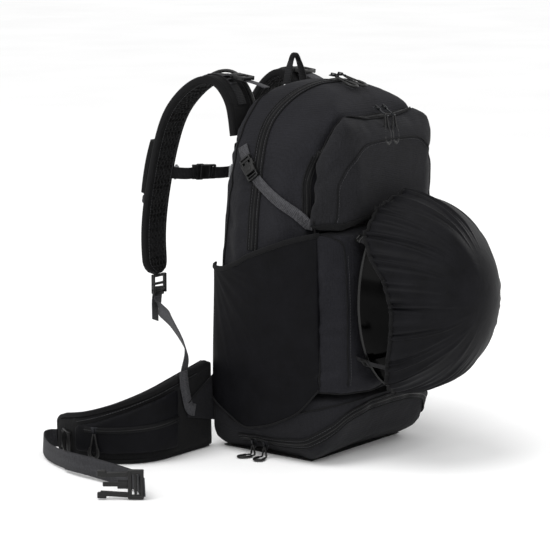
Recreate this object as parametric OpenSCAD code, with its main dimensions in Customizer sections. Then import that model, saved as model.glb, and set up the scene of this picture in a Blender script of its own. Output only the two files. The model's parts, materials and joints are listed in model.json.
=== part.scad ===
// Avalanche airbag backpack with a stowed helmet carrier.
// Millimetres. +Z is up, -Y is the outer face, +Y is the wearer's side, +X is the wearer's right.
// The origin is the middle of the base patch, on the surface that the pack stands on.

/* [Body] */
// Widest part of the pack body
body_w = 268; // [230:1:330]
// Height of the pack body, base patch to lid
body_h = 516; // [430:1:620]
// Depth of the main compartment, back face to the front pocket's seam
main_d = 172; // [140:1:210]
// How far the front pocket stands off the main compartment
pocket_d = 46; // [30:1:60]
// How far the stash pocket stands off the main compartment
stash_d = 60; // [48:1:70]
// Height of the base compartment
base_h = 96; // [80:1:116]
// Thickness of a fabric wall with its lining
wall = 2.5; // [1.5:0.1:4]
// How far the zip tapes stand proud of the cloth
tape_t = 1.2; // [0.8:0.1:1.8]

/* [Back and frame] */
// Thickness of the back pads
pad_t = 9; // [6:0.5:12]
// Thickness of the internal frame sheet
sheet_t = 1.6; // [1:0.1:2.5]
// Width of an aluminium stay
stay_w = 12; // [8:1:16]

/* [Shoulder straps] */
// Width of a shoulder strap
strap_w = 48; // [40:1:60]
// Thickness of a shoulder strap
strap_t = 13; // [9:1:16]
// Distance between the straps' inner edges
strap_gap = 100; // [84:1:120]
// How far the right strap reaches out, as a share of the left one's reach
right_reach = 0.74; // [0.6:0.01:1]
// Width of the narrow webbing
web_w = 18; // [14:1:22]
// Thickness of all webbing
web_t = 1.6; // [1.2:0.1:2.4]

/* [Hip belt] */
// Thickness of a hip fin
fin_t = 14; // [10:1:18]
// Height of a hip fin at its root
fin_h = 122; // [100:1:140]
// Width of the belt webbing
belt_w = 28; // [22:1:34]
// Length of a buckle half
buckle_l = 60; // [50:1:70]

/* [Airbag system] */
// Diameter of the gas cylinder
cyl_d = 50; // [40:1:60]
// Length of the gas cylinder
cyl_l = 190; // [150:1:220]
// Diameter of the trigger cable's housing
cable_d = 5; // [4:0.5:7]

/* [Helmet and carrier] */
// Length of the helmet, brow to nape
helmet_l = 268; // [240:1:290]
// Width of the helmet
helmet_w = 216; // [195:1:235]
// Depth of the helmet, rim to crown
helmet_d = 134; // [115:1:150]
// Thickness of the helmet's shell
shell_t = 3; // [2:0.5:4]
// Thickness of the helmet's foam liner
liner_t = 18; // [12:1:24]
// Thickness of the stretch cover
cover_t = 2; // [1:0.5:3]

/* [Hidden] */

gap = 0.3;              // running clearance between neighbours
back_y0 = 94;           // back face of the pack at hip height
front_y0 = back_y0 - main_d;
half_w = body_w / 2;
web_gap = 1.6;          // how far webbing floats off the cloth that it crosses

cloth = [0.20, 0.20, 0.22];
cloth_dark = [0.11, 0.11, 0.12];
web_grey = [0.27, 0.27, 0.28];
plastic = [0.09, 0.09, 0.09];
metal = [0.7, 0.7, 0.72];

// ---------- curves ----------
function unit(v) = v / norm(v);
function perp(v) = [-v[1], v[0]];
function tangent(p, i) = unit(
    i == 0 ? p[1] - p[0]
    : i == len(p) - 1 ? p[i] - p[i - 1]
    : unit(p[i + 1] - p[i]) + unit(p[i] - p[i - 1]));
function shifted(p, d) = [for (i = [0:len(p) - 1]) p[i] + perp(tangent(p, i)) * d];
function flip_list(p) = [for (i = [len(p) - 1:-1:0]) p[i]];
function band(p, lo, hi) = concat(shifted(p, lo), flip_list(shifted(p, hi)));
function spline(a, b, c, d, t) = 0.5 * (2 * b + (c - a) * t
    + (2 * a - 5 * b + 4 * c - d) * t * t + (3 * b - a - 3 * c + d) * t * t * t);
function smooth(p, n) = concat(
    [for (i = [0:len(p) - 2]) for (k = [0:n - 1])
        spline(p[max(i - 1, 0)], p[i], p[i + 1], p[min(i + 2, len(p) - 1)], k / n)],
    [p[len(p) - 1]]);
function mirrored(p) = concat(p, [for (q = flip_list(p)) if (q[0] > 0.01) [-q[0], q[1]]]);

// A closed solid through a list of rings, each with the same number of points.
module tube(rings) {
    n = len(rings[0]);
    m = len(rings);
    polyhedron(
        points = [for (r = rings) for (p = r) p],
        faces = concat(
            [[for (j = [0:n - 1]) j]],
            [for (i = [0:m - 2]) for (j = [0:n - 1])
                [i * n + j, (i + 1) * n + j, (i + 1) * n + (j + 1) % n, i * n + (j + 1) % n]],
            [[for (j = [n - 1:-1:0]) (m - 1) * n + j]]),
        convexity = 6);
}
// Extrudes a (y, z) outline along X, from x0 to x1.
module along_x(outline, x0, x1) {
    translate([x0, 0, 0]) rotate([90, 0, 90]) linear_extrude(x1 - x0) polygon(outline);
}
// Extrudes an (x, z) outline along Y, from y0 to y1.
module along_y(outline, y0, y1) {
    translate([0, y1, 0]) rotate([90, 0, 0]) linear_extrude(y1 - y0) polygon(outline);
}
module both_sides() {
    children();
    mirror([1, 0, 0]) children();
}

// ---------- outlines of the body ----------
// Front view, as shares of the half width and the height.
FRONT = [[0.76, 0], [0.87, 0.025], [0.955, 0.09], [1, 0.24], [0.985, 0.48], [0.945, 0.68],
         [0.875, 0.815], [0.77, 0.89], [0.58, 0.95], [0.31, 0.99], [0, 1]];
// Back line: distance in front of the back face's hip height, against the share of height.
BACK = [[0, 6], [0.04, 1], [0.23, 0], [0.48, 8], [0.7, 20], [0.845, 30], [0.93, 38],
        [0.975, 52], [0.998, 84]];
function back_y(share) = back_y0 - lookup(share, BACK);
function front_outline(g) = mirrored(
    [for (p = FRONT) [p[0] * (half_w - g), g + p[1] * (body_h - 2 * g)]]);
// The seam between the main compartment and what stands in front of it, base to lid.
function seam() = [[front_y0, base_h], [front_y0, 0.64 * body_h],
                   [front_y0 - 2, 0.8 * body_h], [front_y0 - 25, 0.925 * body_h]];
function side_outline(g) = concat(
    [for (b = BACK) [back_y0 - b[1] - g, g + b[0] * (body_h - 2 * g)]],
    [[front_y0 + 43, body_h - g], [front_y0 + 4, 0.975 * body_h - g]],
    [for (p = flip_list(seam())) p + [g, 0]],
    [[front_y0 + g, g]]);
// Plan view: the half width at each depth.
function plan_outline(g) = mirrored([[0, back_y0 - g + 4], [0.9 * half_w - g, back_y0 - g + 4],
    [half_w - g, 0.3 * back_y0], [half_w - g, front_y0 + 22], [0.92 * half_w - g, front_y0 - 18 + g],
    [0.8 * half_w - g, front_y0 - stash_d + 14 + g], [0.45 * half_w - g, front_y0 - stash_d + 2 + g],
    [0, front_y0 - stash_d + g]]);

module plan_column(g) {
    translate([0, 0, -5]) linear_extrude(body_h + 20) polygon(plan_outline(g));
}
module envelope(g, side) {
    intersection() {
        along_x(side, -half_w - 10, half_w + 10);
        along_y(front_outline(g), -300, 200);
        plan_column(g);
    }
}
module slab(z0, z1) {
    translate([-half_w - 20, -400, z0]) cube([body_w + 40, 700, z1 - z0]);
}
module main_body(g) {
    envelope(g, side_outline(g));
}

// ---------- main and base compartments ----------
cable_exit = [-44, 0.852]; // where the trigger cable leaves the back: x, share of height
module main_compartment() {
    color(cloth) difference() {
        intersection() {
            main_body(0);
            slab(base_h + gap, body_h + 10);
        }
        intersection() {
            main_body(wall);
            slab(base_h + gap + wall, body_h);
        }
        cable_way(cable_d / 2 + 0.5);
    }
}
function base_side(g) = [[back_y0 - 12 - g, g], [back_y0 - 1 - g, 0.18 * base_h], [back_y0 - g, base_h],
    [front_y0 - stash_d + 2 + g, base_h], [front_y0 - 40 + g, 0.6 * base_h],
    [front_y0 - 17 + g, 0.16 * base_h + g / 2], [front_y0 + 8 + g, g]];
patch_t = 1.5; // thickness of the wear patch under the base
module base_envelope(g) {
    envelope(g, base_side(g));
}
module base_compartment() {
    color(cloth_dark) difference() {
        intersection() {
            base_envelope(0);
            slab(patch_t, base_h);
        }
        intersection() {
            base_envelope(wall);
            slab(patch_t + wall, base_h - wall);
        }
    }
}
module base_patch() {
    color(plastic) intersection() {
        base_envelope(0);
        slab(0, patch_t);
    }
}

// ---------- front and stash pockets ----------
pocket_z = 0.625 * body_h; // lower edge of the front pocket
function pocket_side(g) = concat([for (p = seam()) if (p[1] > pocket_z) p - [gap + g, 0]],
    [[front_y0 - pocket_d + 2 + g, 0.905 * body_h - g], [front_y0 - pocket_d + g, 0.84 * body_h],
     [front_y0 - pocket_d - 2 + g, 0.76 * body_h], [front_y0 - pocket_d + g, pocket_z + g],
     [front_y0 - gap - g, pocket_z + g]]);
module front_pocket() {
    color(cloth) difference() {
        envelope(0, pocket_side(0));
        envelope(wall, pocket_side(wall));
    }
}
stash_z0 = base_h + gap;
stash_z1 = pocket_z - gap;
function stash_side(g) = [[front_y0 - gap - g, stash_z0 + g], [front_y0 - gap - g, stash_z1 - g],
    [front_y0 - stash_d + 12 + g, stash_z1 - g], [front_y0 - stash_d + g, stash_z1 - 60],
    [front_y0 - stash_d + g, stash_z0 + g]];
module stash_pocket() {
    color(cloth_dark) difference() {
        envelope(0, stash_side(0));
        envelope(wall, stash_side(wall));
    }
}

// ---------- side pockets ----------
side_air = 9; // free space between an empty side pocket and the body at its mouth
function pocket_edge(c) = [[back_y0 - 6 - c, 0.12 * body_h + c], [back_y0 - 10 - c, 0.495 * body_h + c],
    [front_y0 - 12 + c, 0.63 * body_h + c], [front_y0 - 12 + c, 0.2 * body_h + c],
    [front_y0 + 20 + c, 0.125 * body_h + c], [0.45 * back_y0, 0.095 * body_h + c]];
module side_pocket() {
    difference() {
        along_x(pocket_edge(0), -half_w - side_air - wall, -half_w * 0.8);
        intersection() {
            along_x([for (p = pocket_edge(wall * 1.6)) [p[0], p[1] > 0.4 * body_h ? p[1] + 60 : p[1]]],
                -half_w - side_air, -half_w * 0.75);
            translate([-half_w - side_air, -300, 0]) cube([200, 600, body_h]);
        }
        envelope(-0.01, side_outline(0));
        envelope(-gap, base_side(-gap));
        envelope(-gap, stash_side(-gap));
        envelope(-gap, pocket_side(-gap));
    }
}
module side_pocket_left() {
    color(cloth_dark) side_pocket();
}
module side_pocket_right() {
    color(cloth_dark) mirror([1, 0, 0]) side_pocket();
}

// ---------- back pads and frame ----------
// A strip that follows the back line between two shares of the height.
function back_strip(a, b, lo, hi) = concat(
    [for (k = [0:8]) let (s = a + (b - a) * k / 8) [back_y(s) + lo, s * body_h]],
    [for (k = [8:-1:0]) let (s = a + (b - a) * k / 8) [back_y(s) + hi, s * body_h]]);
pad_w = 78;
stay_t = 3;
stay_x = 56;
module back_pads() {
    color(cloth_dark) {
        both_sides() along_x(back_strip(0.27, 0.83, gap, pad_t), 14, 14 + pad_w);
        along_x(back_strip(0.045, 0.25, gap, pad_t), -92, 92);
    }
}
module frame_sheet() {
    color(plastic) difference() {
        along_x(back_strip(0.25, 0.9, -wall - 0.8 - sheet_t, -wall - 0.8), -80, 80);
        cable_way(cable_d / 2);
    }
}
module frame_stays() {
    color(metal) both_sides()
        along_x(back_strip(0.25, 0.88, -wall - sheet_t - 0.8 - gap - stay_t, -wall - sheet_t - 0.8 - gap),
            stay_x, stay_x + stay_w);
}

// ---------- airbag system ----------
cyl_at = [30, 45, 0.27 * body_h]; // foot of the gas cylinder
head_h = 46;
module airbag_folded() {
    color([0.75, 0.2, 0.1]) translate([-78, -12, cyl_at[2] + cyl_l + head_h + 2 * gap])
        cube([150, 50, 0.15 * body_h]);
}
module gas_cylinder() {
    color(metal) translate(cyl_at) {
        translate([0, 0, 12]) cylinder(d = cyl_d, h = cyl_l - 36, $fn = 48);
        cylinder(d1 = cyl_d - 16, d2 = cyl_d, h = 12, $fn = 48);
        translate([0, 0, cyl_l - 24]) cylinder(d1 = cyl_d, d2 = 22, h = 16, $fn = 48);
        translate([0, 0, cyl_l - 8]) cylinder(d = 22, h = 8, $fn = 32);
    }
}
module inflator_head() {
    color(plastic) translate(cyl_at + [0, 0, cyl_l + gap]) {
        translate([-21, -17, 0]) cube([42, 34, head_h]);
        translate([0, -16, head_h / 2]) rotate([90, 0, 0]) cylinder(d = 34, h = 16, $fn = 40);
        translate([-30, 0, head_h / 2]) rotate([0, 90, 0]) cylinder(d = 12, h = 10, $fn = 24);
    }
}
module cylinder_bracket() {
    ring_h = 18;
    color(plastic) translate([cyl_at[0], cyl_at[1], cyl_at[2] + 0.5 * cyl_l]) difference() {
        union() {
            cylinder(d = cyl_d + 8, h = ring_h, $fn = 48);
            translate([-12, 0, 0]) cube([24, cyl_d / 2 + 40, ring_h]);
        }
        translate([0, 0, -1]) cylinder(d = cyl_d + 2 * gap, h = ring_h + 2, $fn = 48);
        difference() {
            translate([-60, 0, -5]) cube([120, 90, ring_h + 10]);
            translate([-cyl_at[0], -cyl_at[1], -cyl_at[2] - 0.5 * cyl_l]) along_x(
                back_strip(0.2, 0.9, -140, -wall - sheet_t - 0.8 - gap), -100, 100);
        }
    }
}
// Route of the cable's housing inside the pack: out of the inflator, across, and through the back.
function cable_route() = smooth([
    [cyl_at[0] - 30 - 3 * gap, cyl_at[1], cyl_at[2] + cyl_l + gap + head_h / 2],
    [-14, cyl_at[1] - 1, cyl_at[2] + cyl_l + 8 + head_h / 2],
    [-36, cyl_at[1] - 1, cable_exit[1] * body_h - 40],
    [cable_exit[0], back_y(cable_exit[1]) - 20, cable_exit[1] * body_h - 5],
    [cable_exit[0], back_y(cable_exit[1]) + 3, cable_exit[1] * body_h + 2]], 4);
function circle_ring(p, t, r, n) = let (u = unit(cross(t, [0.2, 0, 1])), v = cross(t, u))
    [for (j = [0:n - 1]) p + r * (cos(360 * j / n) * u + sin(360 * j / n) * v)];
function hose(route, r, n) = [for (i = [0:len(route) - 1]) circle_ring(route[i], tangent(route, i), r, n)];
module trigger_cable_pack() {
    color(plastic) tube(hose(cable_route(), cable_d / 2, 8));
}
// The hole that the cable passes the back wall by.
module cable_way(r) {
    translate([cable_exit[0], back_y(cable_exit[1]) - 14, cable_exit[1] * body_h - 3.5])
        rotate([-72, 0, 0]) cylinder(r = r + 1.5, h = 30, $fn = 32);
}

// ---------- zip tapes ----------
MAIN_ZIP = [[50, 0.57], [22, 0.8], [front_y0 + 43, 1.02]];
// Side view of the main compartment with both front pockets.
function pack_side(g) = concat(
    [for (b = BACK) [back_y0 - b[1] - g, g + b[0] * (body_h - 2 * g)]],
    [[front_y0 + 43, body_h - g], [front_y0 + 4, 0.975 * body_h - g], [front_y0 - 25, 0.925 * body_h - g],
     [front_y0 - pocket_d + 2 + g, 0.905 * body_h - g], [front_y0 - pocket_d + g, 0.84 * body_h],
     [front_y0 - pocket_d - 2 + g, 0.76 * body_h], [front_y0 - pocket_d + g, pocket_z],
     [front_y0 - pocket_d + g, g]]);
zip_w = 14; // width of a zip's tape with its flaps
main_zip_line = [for (p = MAIN_ZIP) [p[0], p[1] * body_h]];
module tape_shell() {
    difference() {
        envelope(-tape_t, pack_side(-tape_t));
        envelope(0, pack_side(0));
        envelope(0, pocket_side(0));
    }
}
module main_zip() {
    color(plastic) intersection() {
        tape_shell();
        along_x(band(main_zip_line, -zip_w / 2, zip_w / 2), -half_w - 5, half_w + 5);
    }
}
module front_zip() {
    line = [for (p = seam()) if (p[1] > pocket_z + 2) p - [4, 0]];
    color(plastic) intersection() {
        tape_shell();
        along_x(band(concat([[line[0][0], pocket_z + 4]], line), -3, 3), -half_w - 5, half_w + 5);
        slab(pocket_z + 4, body_h);
    }
}
module base_zip() {
    line = [[front_y0 + 120, 0.14 * base_h], [front_y0 + 76, 0.16 * base_h],
            [front_y0 + 18, 0.25 * base_h], [front_y0 - 30, 0.6 * base_h],
            [front_y0 - stash_d - 4, 0.78 * base_h]];
    color(plastic) intersection() {
        difference() {
            envelope(-tape_t, base_side(-tape_t));
            envelope(0, base_side(0));
        }
        along_x(band(line, -zip_w / 2, zip_w / 2), -half_w - 5, half_w + 5);
        slab(patch_t + 1, base_h);
    }
}

// ---------- straps and webbing on the body ----------
// A flat strip from a to b: w wide along the direction wide, t thick.
module strip(a, b, wide, w, t) {
    d = unit(b - a);
    u = unit(wide - (wide * d) * d);
    n = cross(d, u);
    tube([for (p = [a, b]) [p + u * w / 2 + n * t / 2, p - u * w / 2 + n * t / 2,
                           p - u * w / 2 - n * t / 2, p + u * w / 2 - n * t / 2]]);
}
comp_top = [-half_w * 0.88 - web_gap - 2, 40, 0.81 * body_h];
comp_low = [-half_w * 0.965 - web_gap - 2, front_y0 - 4, 0.655 * body_h];
comp_buckle_l = 34;
module compression_side() {
    d = unit(comp_low - comp_top);
    strip(comp_top + d * (comp_buckle_l + gap), comp_low, [0, 0, 1], web_w, web_t);
    difference() {
        translate(comp_low + [-1, -6, -6]) cube([22, 10, 12]);
        envelope(-0.01, side_outline(-0.01));
        envelope(-gap - tape_t, pocket_side(-gap - tape_t));
        translate([-half_w - 20, -200, 0]) cube([400, 600, 0.633 * body_h]);
    }
}
module compression_webbing() {
    color(web_grey) both_sides() compression_side();
}
module compression_buckles() {
    color(plastic) both_sides() difference() {
        strip(comp_top - unit(comp_low - comp_top) * 6, comp_top + unit(comp_low - comp_top) * comp_buckle_l,
            [0, 0, 1], web_w + 6, 8);
        envelope(-tape_t - 0.05, side_outline(-tape_t - 0.05));
    }
}
wing_out = 172;          // how far the wings reach from the middle
tail_top = [181, 89.5, 118];
module lower_wings() {
    color(cloth_dark) both_sides() {
        difference() {
            intersection() {
                translate([-wing_out, back_y0 - 3.5, 0]) cube([wing_out - 0.85 * half_w, 2.5, 200]);
                along_y([[-110, 104], [-wing_out, 72], [-wing_out, 52], [-110, 36]], 0, 200);
            }
            envelope(-0.05, side_outline(-0.05));
            envelope(-0.05, base_side(-0.05));
        }
        strip([-wing_out, tail_top[1] - 0.2, 56], [-tail_top[0], tail_top[1] - 0.2, tail_top[2]],
            [1, 0, 0], web_w, web_t);
    }
}
loop_h = 36;
loop_x = 18;
loop_y = 37;
loop_r = 3;
lid_rise = 0.023 * body_h / 32; // slope of the lid behind its highest point
loop_z = 0.975 * body_h + (back_y0 - 52 - loop_y) * lid_rise + loop_r + 0.9;
module haul_loop() {
    t = 4;
    top = loop_z + loop_h;
    color(plastic) {
        translate([0, loop_y + loop_r, 0]) rotate([90, 0, 0]) linear_extrude(2 * loop_r) difference() {
            polygon([[-loop_x - t, loop_z], [-loop_x, top - 12], [-6, top], [6, top],
                     [loop_x, top - 12], [loop_x + t, loop_z]]);
            polygon([[-loop_x + t, loop_z - 1], [-loop_x + 2 * t, top - 15], [-4, top - 5], [4, top - 5],
                     [loop_x - 2 * t, top - 15], [loop_x - t, loop_z - 1]]);
        }
        both_sides() translate([loop_x - t, loop_y, loop_z]) rotate([0, 90, 0])
            cylinder(r = loop_r, h = 2 * t, $fn = 24);
    }
}

// ---------- shoulder harness ----------
// Middle line of a strap in the (y, z) plane, yoke to tip, at full reach.
STRAP = [[0, 0.845], [8, 0.93], [29, 0.982], [57, 0.987], [91, 0.95], [121, 0.885], [141, 0.79],
         [157, 0.66], [164, 0.56], [163, 0.475], [157, 0.435]];
function strap_line(reach) = smooth([for (p = STRAP)
    [back_y(STRAP[0][1]) + strap_t / 2 + gap + p[0] * reach, p[1] * body_h]], 3);
function at_share(p, s) = p[round(s * (len(p) - 1))];
module strap(reach) {
    along_x(band(strap_line(reach), -strap_t / 2, strap_t / 2), strap_gap / 2, strap_gap / 2 + strap_w);
}
module strap_left() {
    color(cloth_dark) mirror([1, 0, 0]) strap(1);
}
module strap_right() {
    color(cloth_dark) strap(right_reach);
}
strap_mid_x = strap_gap / 2 + strap_w / 2;
lifter_a = [strap_mid_x - 2, 90, 0.982 * body_h + strap_t / 2 + 3.6];
lifter_b = [62, 37, 0.967 * body_h + 3];
module lifter_webbing() {
    color(web_grey) both_sides() difference() {
        strip(lifter_a, lifter_b, [1, 0, 0], web_w, web_t);
        envelope(-gap, side_outline(-gap));
    }
}
module lifter_locks() {
    d = unit(lifter_b - lifter_a);
    color(plastic) both_sides() translate(lifter_a + d * 26 + [0, 0, web_t / 2 + 0.8 + 2.5])
        rotate([asin(-d[2]), 0, atan2(-d[0], -d[1]) * -1]) ladder_lock(web_w + 8, 24, 5);
}
module ladder_lock(w, l, t) {
    difference() {
        translate([-w / 2, -l / 2, -t / 2]) cube([w, l, t]);
        for (y = [-0.3 * l, 0.08 * l])
            translate([-w / 2 + 4, y, -t]) cube([w - 8, 0.22 * l, 2 * t]);
    }
}
lock_l = 30; // length of a ladder lock
module strap_ladder_locks() {
    color(plastic) {
        for (side = [-1, 1]) {
            line = strap_line(side < 0 ? 1 : right_reach);
            tip = line[len(line) - 1];
            translate([side * strap_mid_x, tip[0] - 2, tip[1] - lock_l / 2 - 2 * gap]) rotate([90, 0, 0])
                ladder_lock(web_w + 10, lock_l, 5);
        }
    }
}
function lock_foot(side) = let (line = strap_line(side < 0 ? 1 : right_reach), tip = line[len(line) - 1])
    [side * strap_mid_x, tip[0] - 2, tip[1] - lock_l - 2 * gap - 3];
module lower_webbing() {
    color(web_grey) for (side = [-1, 1])
        strip(lock_foot(side), [side * tail_top[0], tail_top[1] + 5.8, tail_top[2] + 4.9],
            [1, 0, 0], web_w, web_t);
}
sternum_share = 0.66; // where the sternum strap crosses, along a shoulder strap
module sternum_webbing() {
    a = at_share(strap_line(1), sternum_share);
    b = at_share(strap_line(right_reach), sternum_share);
    x0 = strap_gap / 2 - 3 * gap;
    color(web_grey) {
        strip([-x0, a[0], a[1]], [-sternum_l / 2 - 2 * gap, (a[0] + b[0]) / 2, (a[1] + b[1]) / 2],
            [0, 0, 1], web_w, web_t);
        strip([sternum_l / 2 + 2 * gap, (a[0] + b[0]) / 2, (a[1] + b[1]) / 2], [x0, b[0], b[1]],
            [0, 0, 1], web_w, web_t);
    }
}
sternum_l = 34;
module sternum_buckle() {
    a = at_share(strap_line(1), sternum_share);
    b = at_share(strap_line(right_reach), sternum_share);
    color(plastic) translate([0, (a[0] + b[0]) / 2, (a[1] + b[1]) / 2])
        cube([sternum_l, 7, web_w + 6], center = true);
}
// The trigger's pocket on the outer face of the left strap, and the cable above it.
trigger_lo = 0.56;
trigger_hi = 0.74;
garage_t = 19;
module trigger_garage() {
    line = strap_line(1);
    n = len(line) - 1;
    part = [for (i = [round(trigger_lo * n):round(trigger_hi * n)]) line[i]];
    color(cloth_dark) difference() {
        mirror([1, 0, 0]) along_x(band(part, strap_t / 2 + gap, strap_t / 2 + gap + garage_t),
            strap_mid_x - 18, strap_mid_x + 18);
        trigger_path(0.6);
    }
}
trigger_a = at_share(strap_line(1), trigger_lo);
trigger_b = at_share(strap_line(1), trigger_hi);
trigger_d = unit(trigger_b - trigger_a);
trigger_n = perp(trigger_d);
trigger_mid = (trigger_a + trigger_b) / 2 + trigger_n * (strap_t / 2 + garage_t / 2 + 2.4);
handle_l = 92;
module trigger_path(extra) {
    a = trigger_mid - trigger_d * (handle_l / 2 + extra - 8);
    b = trigger_mid + trigger_d * (handle_l / 2 + 30);
    strip([-strap_mid_x, a[0], a[1]], [-strap_mid_x, b[0], b[1]], [1, 0, 0], 26 + 2 * extra,
        8 + 2 * extra);
}
module trigger_handle() {
    a = trigger_mid - trigger_d * (handle_l / 2 - 8);
    b = trigger_mid + trigger_d * (handle_l / 2 + 8);
    color([0.8, 0.25, 0.1]) difference() {
        strip([-strap_mid_x, a[0], a[1]], [-strap_mid_x, b[0], b[1]], [1, 0, 0], 26, 8);
        c = trigger_mid + trigger_d * (handle_l / 2 - 8);
        translate([-strap_mid_x - 8, c[0] - 12, c[1] - 8]) cube([16, 24, 10]);
    }
}
// Beside the strap's inner edge, over it, and on to the trigger's pocket.
function ramp(t) = min(1, max(0, t));
module trigger_cable_strap() {
    line = strap_line(1);
    last = round(trigger_lo * (len(line) - 1));
    lift = strap_t / 2 + cable_d / 2 + 2 * gap;
    out = [for (i = [1:last]) let (t = tangent(line, i), p = line[i] + perp(t) * -lift * ramp((i - 9) / 2)
            - (i == last ? 0.5 : 0) * t)
        [-strap_gap / 2 + cable_d / 2 + gap * 2 - 14 * ramp((i - 11) / 2), p[0], p[1]]];
    color(plastic) tube(hose(out, cable_d / 2, 8));
}

// ---------- hip belt ----------
fin_root = [112, back_y0 + fin_t / 2 + gap];
fin_r = 74;              // bend of a fin round the hip
fin_bend = [211, fin_root[1] + fin_r]; // centre of that bend
function fin_line() = concat([fin_root, [196, fin_root[1]]],
    [for (k = [0:9]) fin_bend + fin_r * [cos(11 * k - 90), sin(11 * k - 90)]],
    [[270, 232], [262, 244]]);
FIN_FALL = [0.2, 0.28];  // fall of the top edge, outwards and towards the wearer
// Everything between height z0 and the fin's top edge less drop.
module under_fin_top(drop, z0) {
    intersection() {
        translate([0, 0, z0]) cube([400, 400, 200]);
        translate([fin_root[0], fin_root[1], fin_h - drop])
            rotate([-atan(FIN_FALL[1] * cos(atan(FIN_FALL[0]))), atan(FIN_FALL[0]), 0])
            translate([-300, -300, -400]) cube([700, 700, 400]);
    }
}
module fin() {
    intersection() {
        linear_extrude(200) polygon(band(fin_line(), -fin_t / 2, fin_t / 2));
        under_fin_top(0, 0);
    }
}
fin_pocket_t = 9; // how far a fin's pocket stands off the fin
module fin_pocket() {
    line = [for (p = fin_line()) if (p[0] > 190 && p[1] < 205) p];
    difference() {
        intersection() {
            linear_extrude(200) polygon(band(line, -fin_t / 2 - gap - fin_pocket_t, -fin_t / 2 - gap));
            under_fin_top(11, 14);
        }
        intersection() {
            linear_extrude(200) polygon(band([for (i = [1:len(line) - 2]) line[i]],
                -fin_t / 2 - gap - fin_pocket_t + wall, -fin_t / 2 - gap - wall));
            under_fin_top(11 + wall, 14 + wall);
        }
    }
}
module on_left() {
    mirror([1, 0, 0]) children();
}
module fin_left() {
    color(cloth_dark) on_left() fin();
}
module fin_right() {
    color(cloth_dark) fin();
}
module fin_pocket_left() {
    color(cloth) on_left() fin_pocket();
}
module fin_pocket_right() {
    color(cloth) fin_pocket();
}
// The lock lies on the last straight stretch of the fin.
module fin_lock() {
    p = fin_line();
    a = p[len(p) - 3];
    b = p[len(p) - 2];
    n = -perp(unit(b - a));
    c = (a + b) / 2 + n * (fin_t / 2 + gap + 2.5);
    translate([c[0], c[1], 8 + belt_w / 2]) rotate([0, 90, atan2(n[1], n[0])]) ladder_lock(belt_w, lock_l, 5);
}
module fin_lock_left() {
    color(plastic) on_left() fin_lock();
}
module fin_lock_right() {
    color(plastic) fin_lock();
}
// Belt webbing stands on its edge and follows a curve in plan.
LEFT_BELT = [[264, 247.5], [275, 256], [292, 250], [318, 222], [338, 182],
             [352, 139], [356, 95], [358, 50], [370, 10], [388, -14]];
RIGHT_BELT = [[264, 247.5], [275, 256], [294, 251], [318, 228], [328, 196], [326, 160]];
module belt(route, flip) {
    mirror([flip ? 1 : 0, 0, 0]) linear_extrude(belt_w)
        polygon(band(smooth(route, 4), -web_t, web_t));
}
module belt_webbing_left() {
    color(web_grey) belt(LEFT_BELT, true);
}
module belt_webbing_right() {
    color(web_grey) belt(RIGHT_BELT, false);
}
buckle_h = belt_w + 12;
module buckle_bar() {
    difference() {
        translate([0, -4, 0]) cube([20, 8, buckle_h]);
        translate([5, -5, 5]) cube([9, 10, buckle_h - 10]);
    }
}
module buckle_male() {
    color(plastic) translate([-390.4, -18.7, 0]) rotate([0, 0, 127]) {
        buckle_bar();
        for (z = [3, buckle_h - 9]) translate([20, -3, z]) cube([buckle_l - 20, 6, 6]);
        translate([20, -2, buckle_h / 2 - 3]) cube([buckle_l - 26, 4, 6]);
    }
}
module buckle_female() {
    color(plastic) translate([326, 159.5, 0]) rotate([0, 0, -90]) {
        buckle_bar();
        difference() {
            translate([20, -6, 0]) cube([buckle_l - 16, 12, buckle_h]);
            translate([23, -4, 2.5]) cube([buckle_l, 8, buckle_h - 5]);
        }
    }
}

// ---------- zip sliders and pulls ----------
slider_l = 13;
slider_t = 5;
// A slider with the tongue that its pull hangs from, towards -Y.
module slider(tongue) {
    cube([slider_l, 9, slider_t], center = true);
    translate([-1.5, -4.5 - tongue, -1]) cube([3, tongue, 2]);
}
// A cord loop with a moulded grip at its end, lying along -Y from its pivot.
pull_t = 3;
module pull(l) {
    translate([0, 0, -pull_t / 2]) linear_extrude(pull_t) difference() {
        union() {
            translate([-5, -l + 5, 0]) square([10, l - 5]);
            translate([0, -l + 6]) circle(r = 6, $fn = 24);
        }
        translate([-2.5, -l + 16, 0]) square([5, l - 19]);
    }
}
pull_gap = pull_t / 2 + gap; // room for a pull's end to turn in
main_slider_y = front_y0 + 43;
slider_x = 8; // how far a pair of sliders stands off the middle when closed
lid_slope = atan2(0.025 * body_h, 39);
top_slope = atan2(0.01 * body_h, 0.31 * half_w); // fall of the lid towards each side
module main_slider(side) {
    color(metal) translate([side * slider_x, main_slider_y,
        body_h - slider_x * tan(top_slope) + tape_t + gap + slider_t / 2 + 0.2])
        rotate([0, side * top_slope, 0]) slider(1);
}
module main_pull(side) {
    color(plastic) translate([side * (slider_x + 2), main_slider_y - 5.5 - pull_gap, body_h + gap + 0.7])
        rotate([lid_slope, 0, 0]) pull(36);
}
module main_slider_left() main_slider(-1);
module main_slider_right() main_slider(1);
module main_pull_left() main_pull(-1);
module main_pull_right() main_pull(1);

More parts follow.
